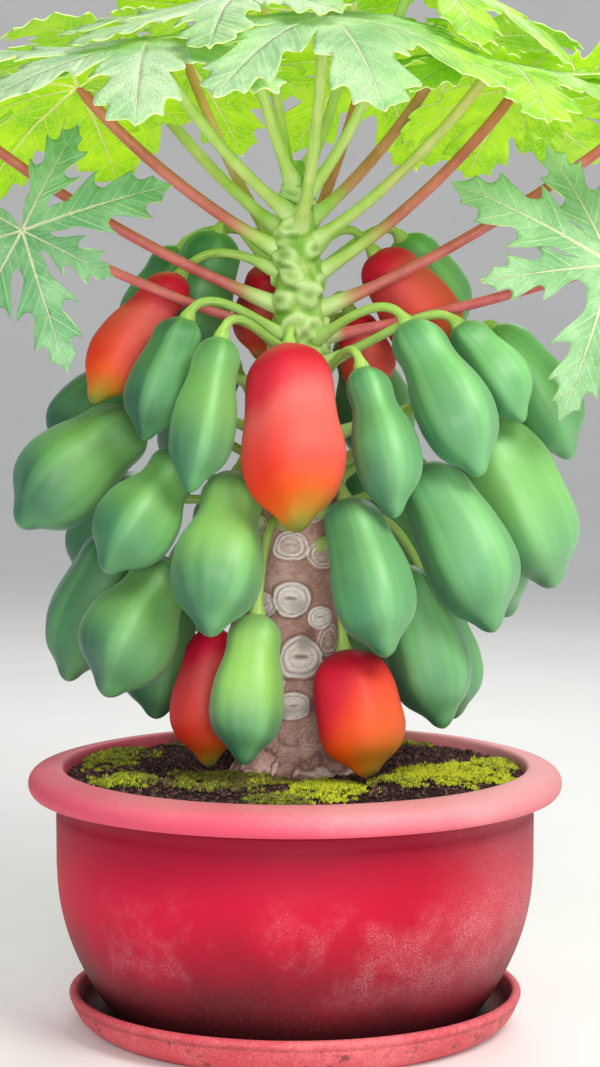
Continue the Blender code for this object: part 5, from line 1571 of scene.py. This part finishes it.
# Floor, light and camera
# A plain pale floor that curves up into a wall far off on all sides. The main light is soft and comes from
# the upper right, a low one from the front, a broad one from behind and a weak one from the left.
# The camera stands a little over two and a half metres in front, level with the upper fruits.

FLOOR_REACH = 9.0
FLOOR_CURVE = 2.4
WALL_TOP = 4.2
FLOOR_SIDES = 128

floor_profile = [(0.01, 0.0), (FLOOR_REACH, 0.0)]
floor_profile += arc(FLOOR_REACH, FLOOR_CURVE, FLOOR_CURVE, FLOOR_CURVE, 275, 355, 22)
floor_profile += [(FLOOR_REACH + FLOOR_CURVE, WALL_TOP)]
floor = turned("studio_floor", floor_profile, FLOOR_SIDES, 60)
# The wall's round lid is taken off again
bpy.ops.object.mode_set(mode="EDIT")
bpy.ops.mesh.select_all(action="DESELECT")
bpy.ops.object.mode_set(mode="OBJECT")
lid = max(floor.data.polygons, key=lambda face: face.center.z)
lid.select = True
bpy.ops.object.mode_set(mode="EDIT")
bpy.ops.mesh.delete(type="ONLY_FACE")
bpy.ops.object.mode_set(mode="OBJECT")
floor_paint, paint = new_finish(
    "floor_paint", Specular_IOR_Level=0.2, Emission_Strength=0.10, Emission_Color=(1.0, 0.99, 0.97, 1.0)
)
grain = paint.place().speckle(3, 3)
lay_on(floor_paint, grain.between(0.2, 0.8).mix(tint(232, 231, 228), tint(237, 236, 234)), 0.8)
floor.data.materials.append(floor_paint)

scene = bpy.context.scene
scene.view_settings.view_transform = "Standard"
world = bpy.data.worlds.new("studio")
world.use_nodes = True
world.node_tree.nodes["Background"].inputs["Color"].default_value = (0.86, 0.90, 0.95, 1.0)
world.node_tree.nodes["Background"].inputs["Strength"].default_value = 0.40
scene.world = world


def soft_light(name, power, size, azimuth, reach, height, colour):
    """A square soft box that faces the middle of the tree."""
    light = bpy.data.lights.new(name, "AREA")
    light.energy = power
    light.size = size
    light.color = colour
    box = bpy.data.objects.new(name, light)
    box.location = place(azimuth, reach, height)
    aim = Vector((0.0, 0.0, 0.55)) - Vector(box.location)
    box.rotation_euler = aim.to_track_quat("-Z", "Y").to_euler()
    scene.collection.objects.link(box)


soft_light("key_light", 66.0, 1.2, 304, 2.2, 2.4, (1.0, 0.98, 0.95))
soft_light("fill_light", 7.0, 2.2, 218, 2.6, 1.6, (0.93, 0.97, 1.0))
soft_light("back_light", 34.0, 1.6, 80, 2.2, 2.3, (1.0, 1.0, 0.96))
soft_light("front_light", 21.0, 0.7, 273, 2.5, 0.72, (1.0, 0.98, 0.97))

# In pixels of the picture: its height, the row that is level with the camera, how far its middle column
# lies from the tree's, and its focal length
PICTURE_HEIGHT = 1067
EYE_ROW = 289
SIDE_STEP = 5.0
FOCAL_LENGTH = 2840
CAMERA_SPOT = (0.0, -2.64, 0.69)
CAMERA_LENS = 95.8

camera_data = bpy.data.cameras.new("camera")
camera_data.lens = CAMERA_LENS
camera_data.sensor_width = 36.0
camera_data.shift_x = SIDE_STEP / PICTURE_HEIGHT
camera = bpy.data.objects.new("camera", camera_data)
camera.location = CAMERA_SPOT
tilt = math.atan((PICTURE_HEIGHT / 2 - EYE_ROW) / FOCAL_LENGTH)
camera.rotation_euler = (math.pi / 2 - tilt, 0.0, 0.0)
scene.collection.objects.link(camera)
scene.camera = camera
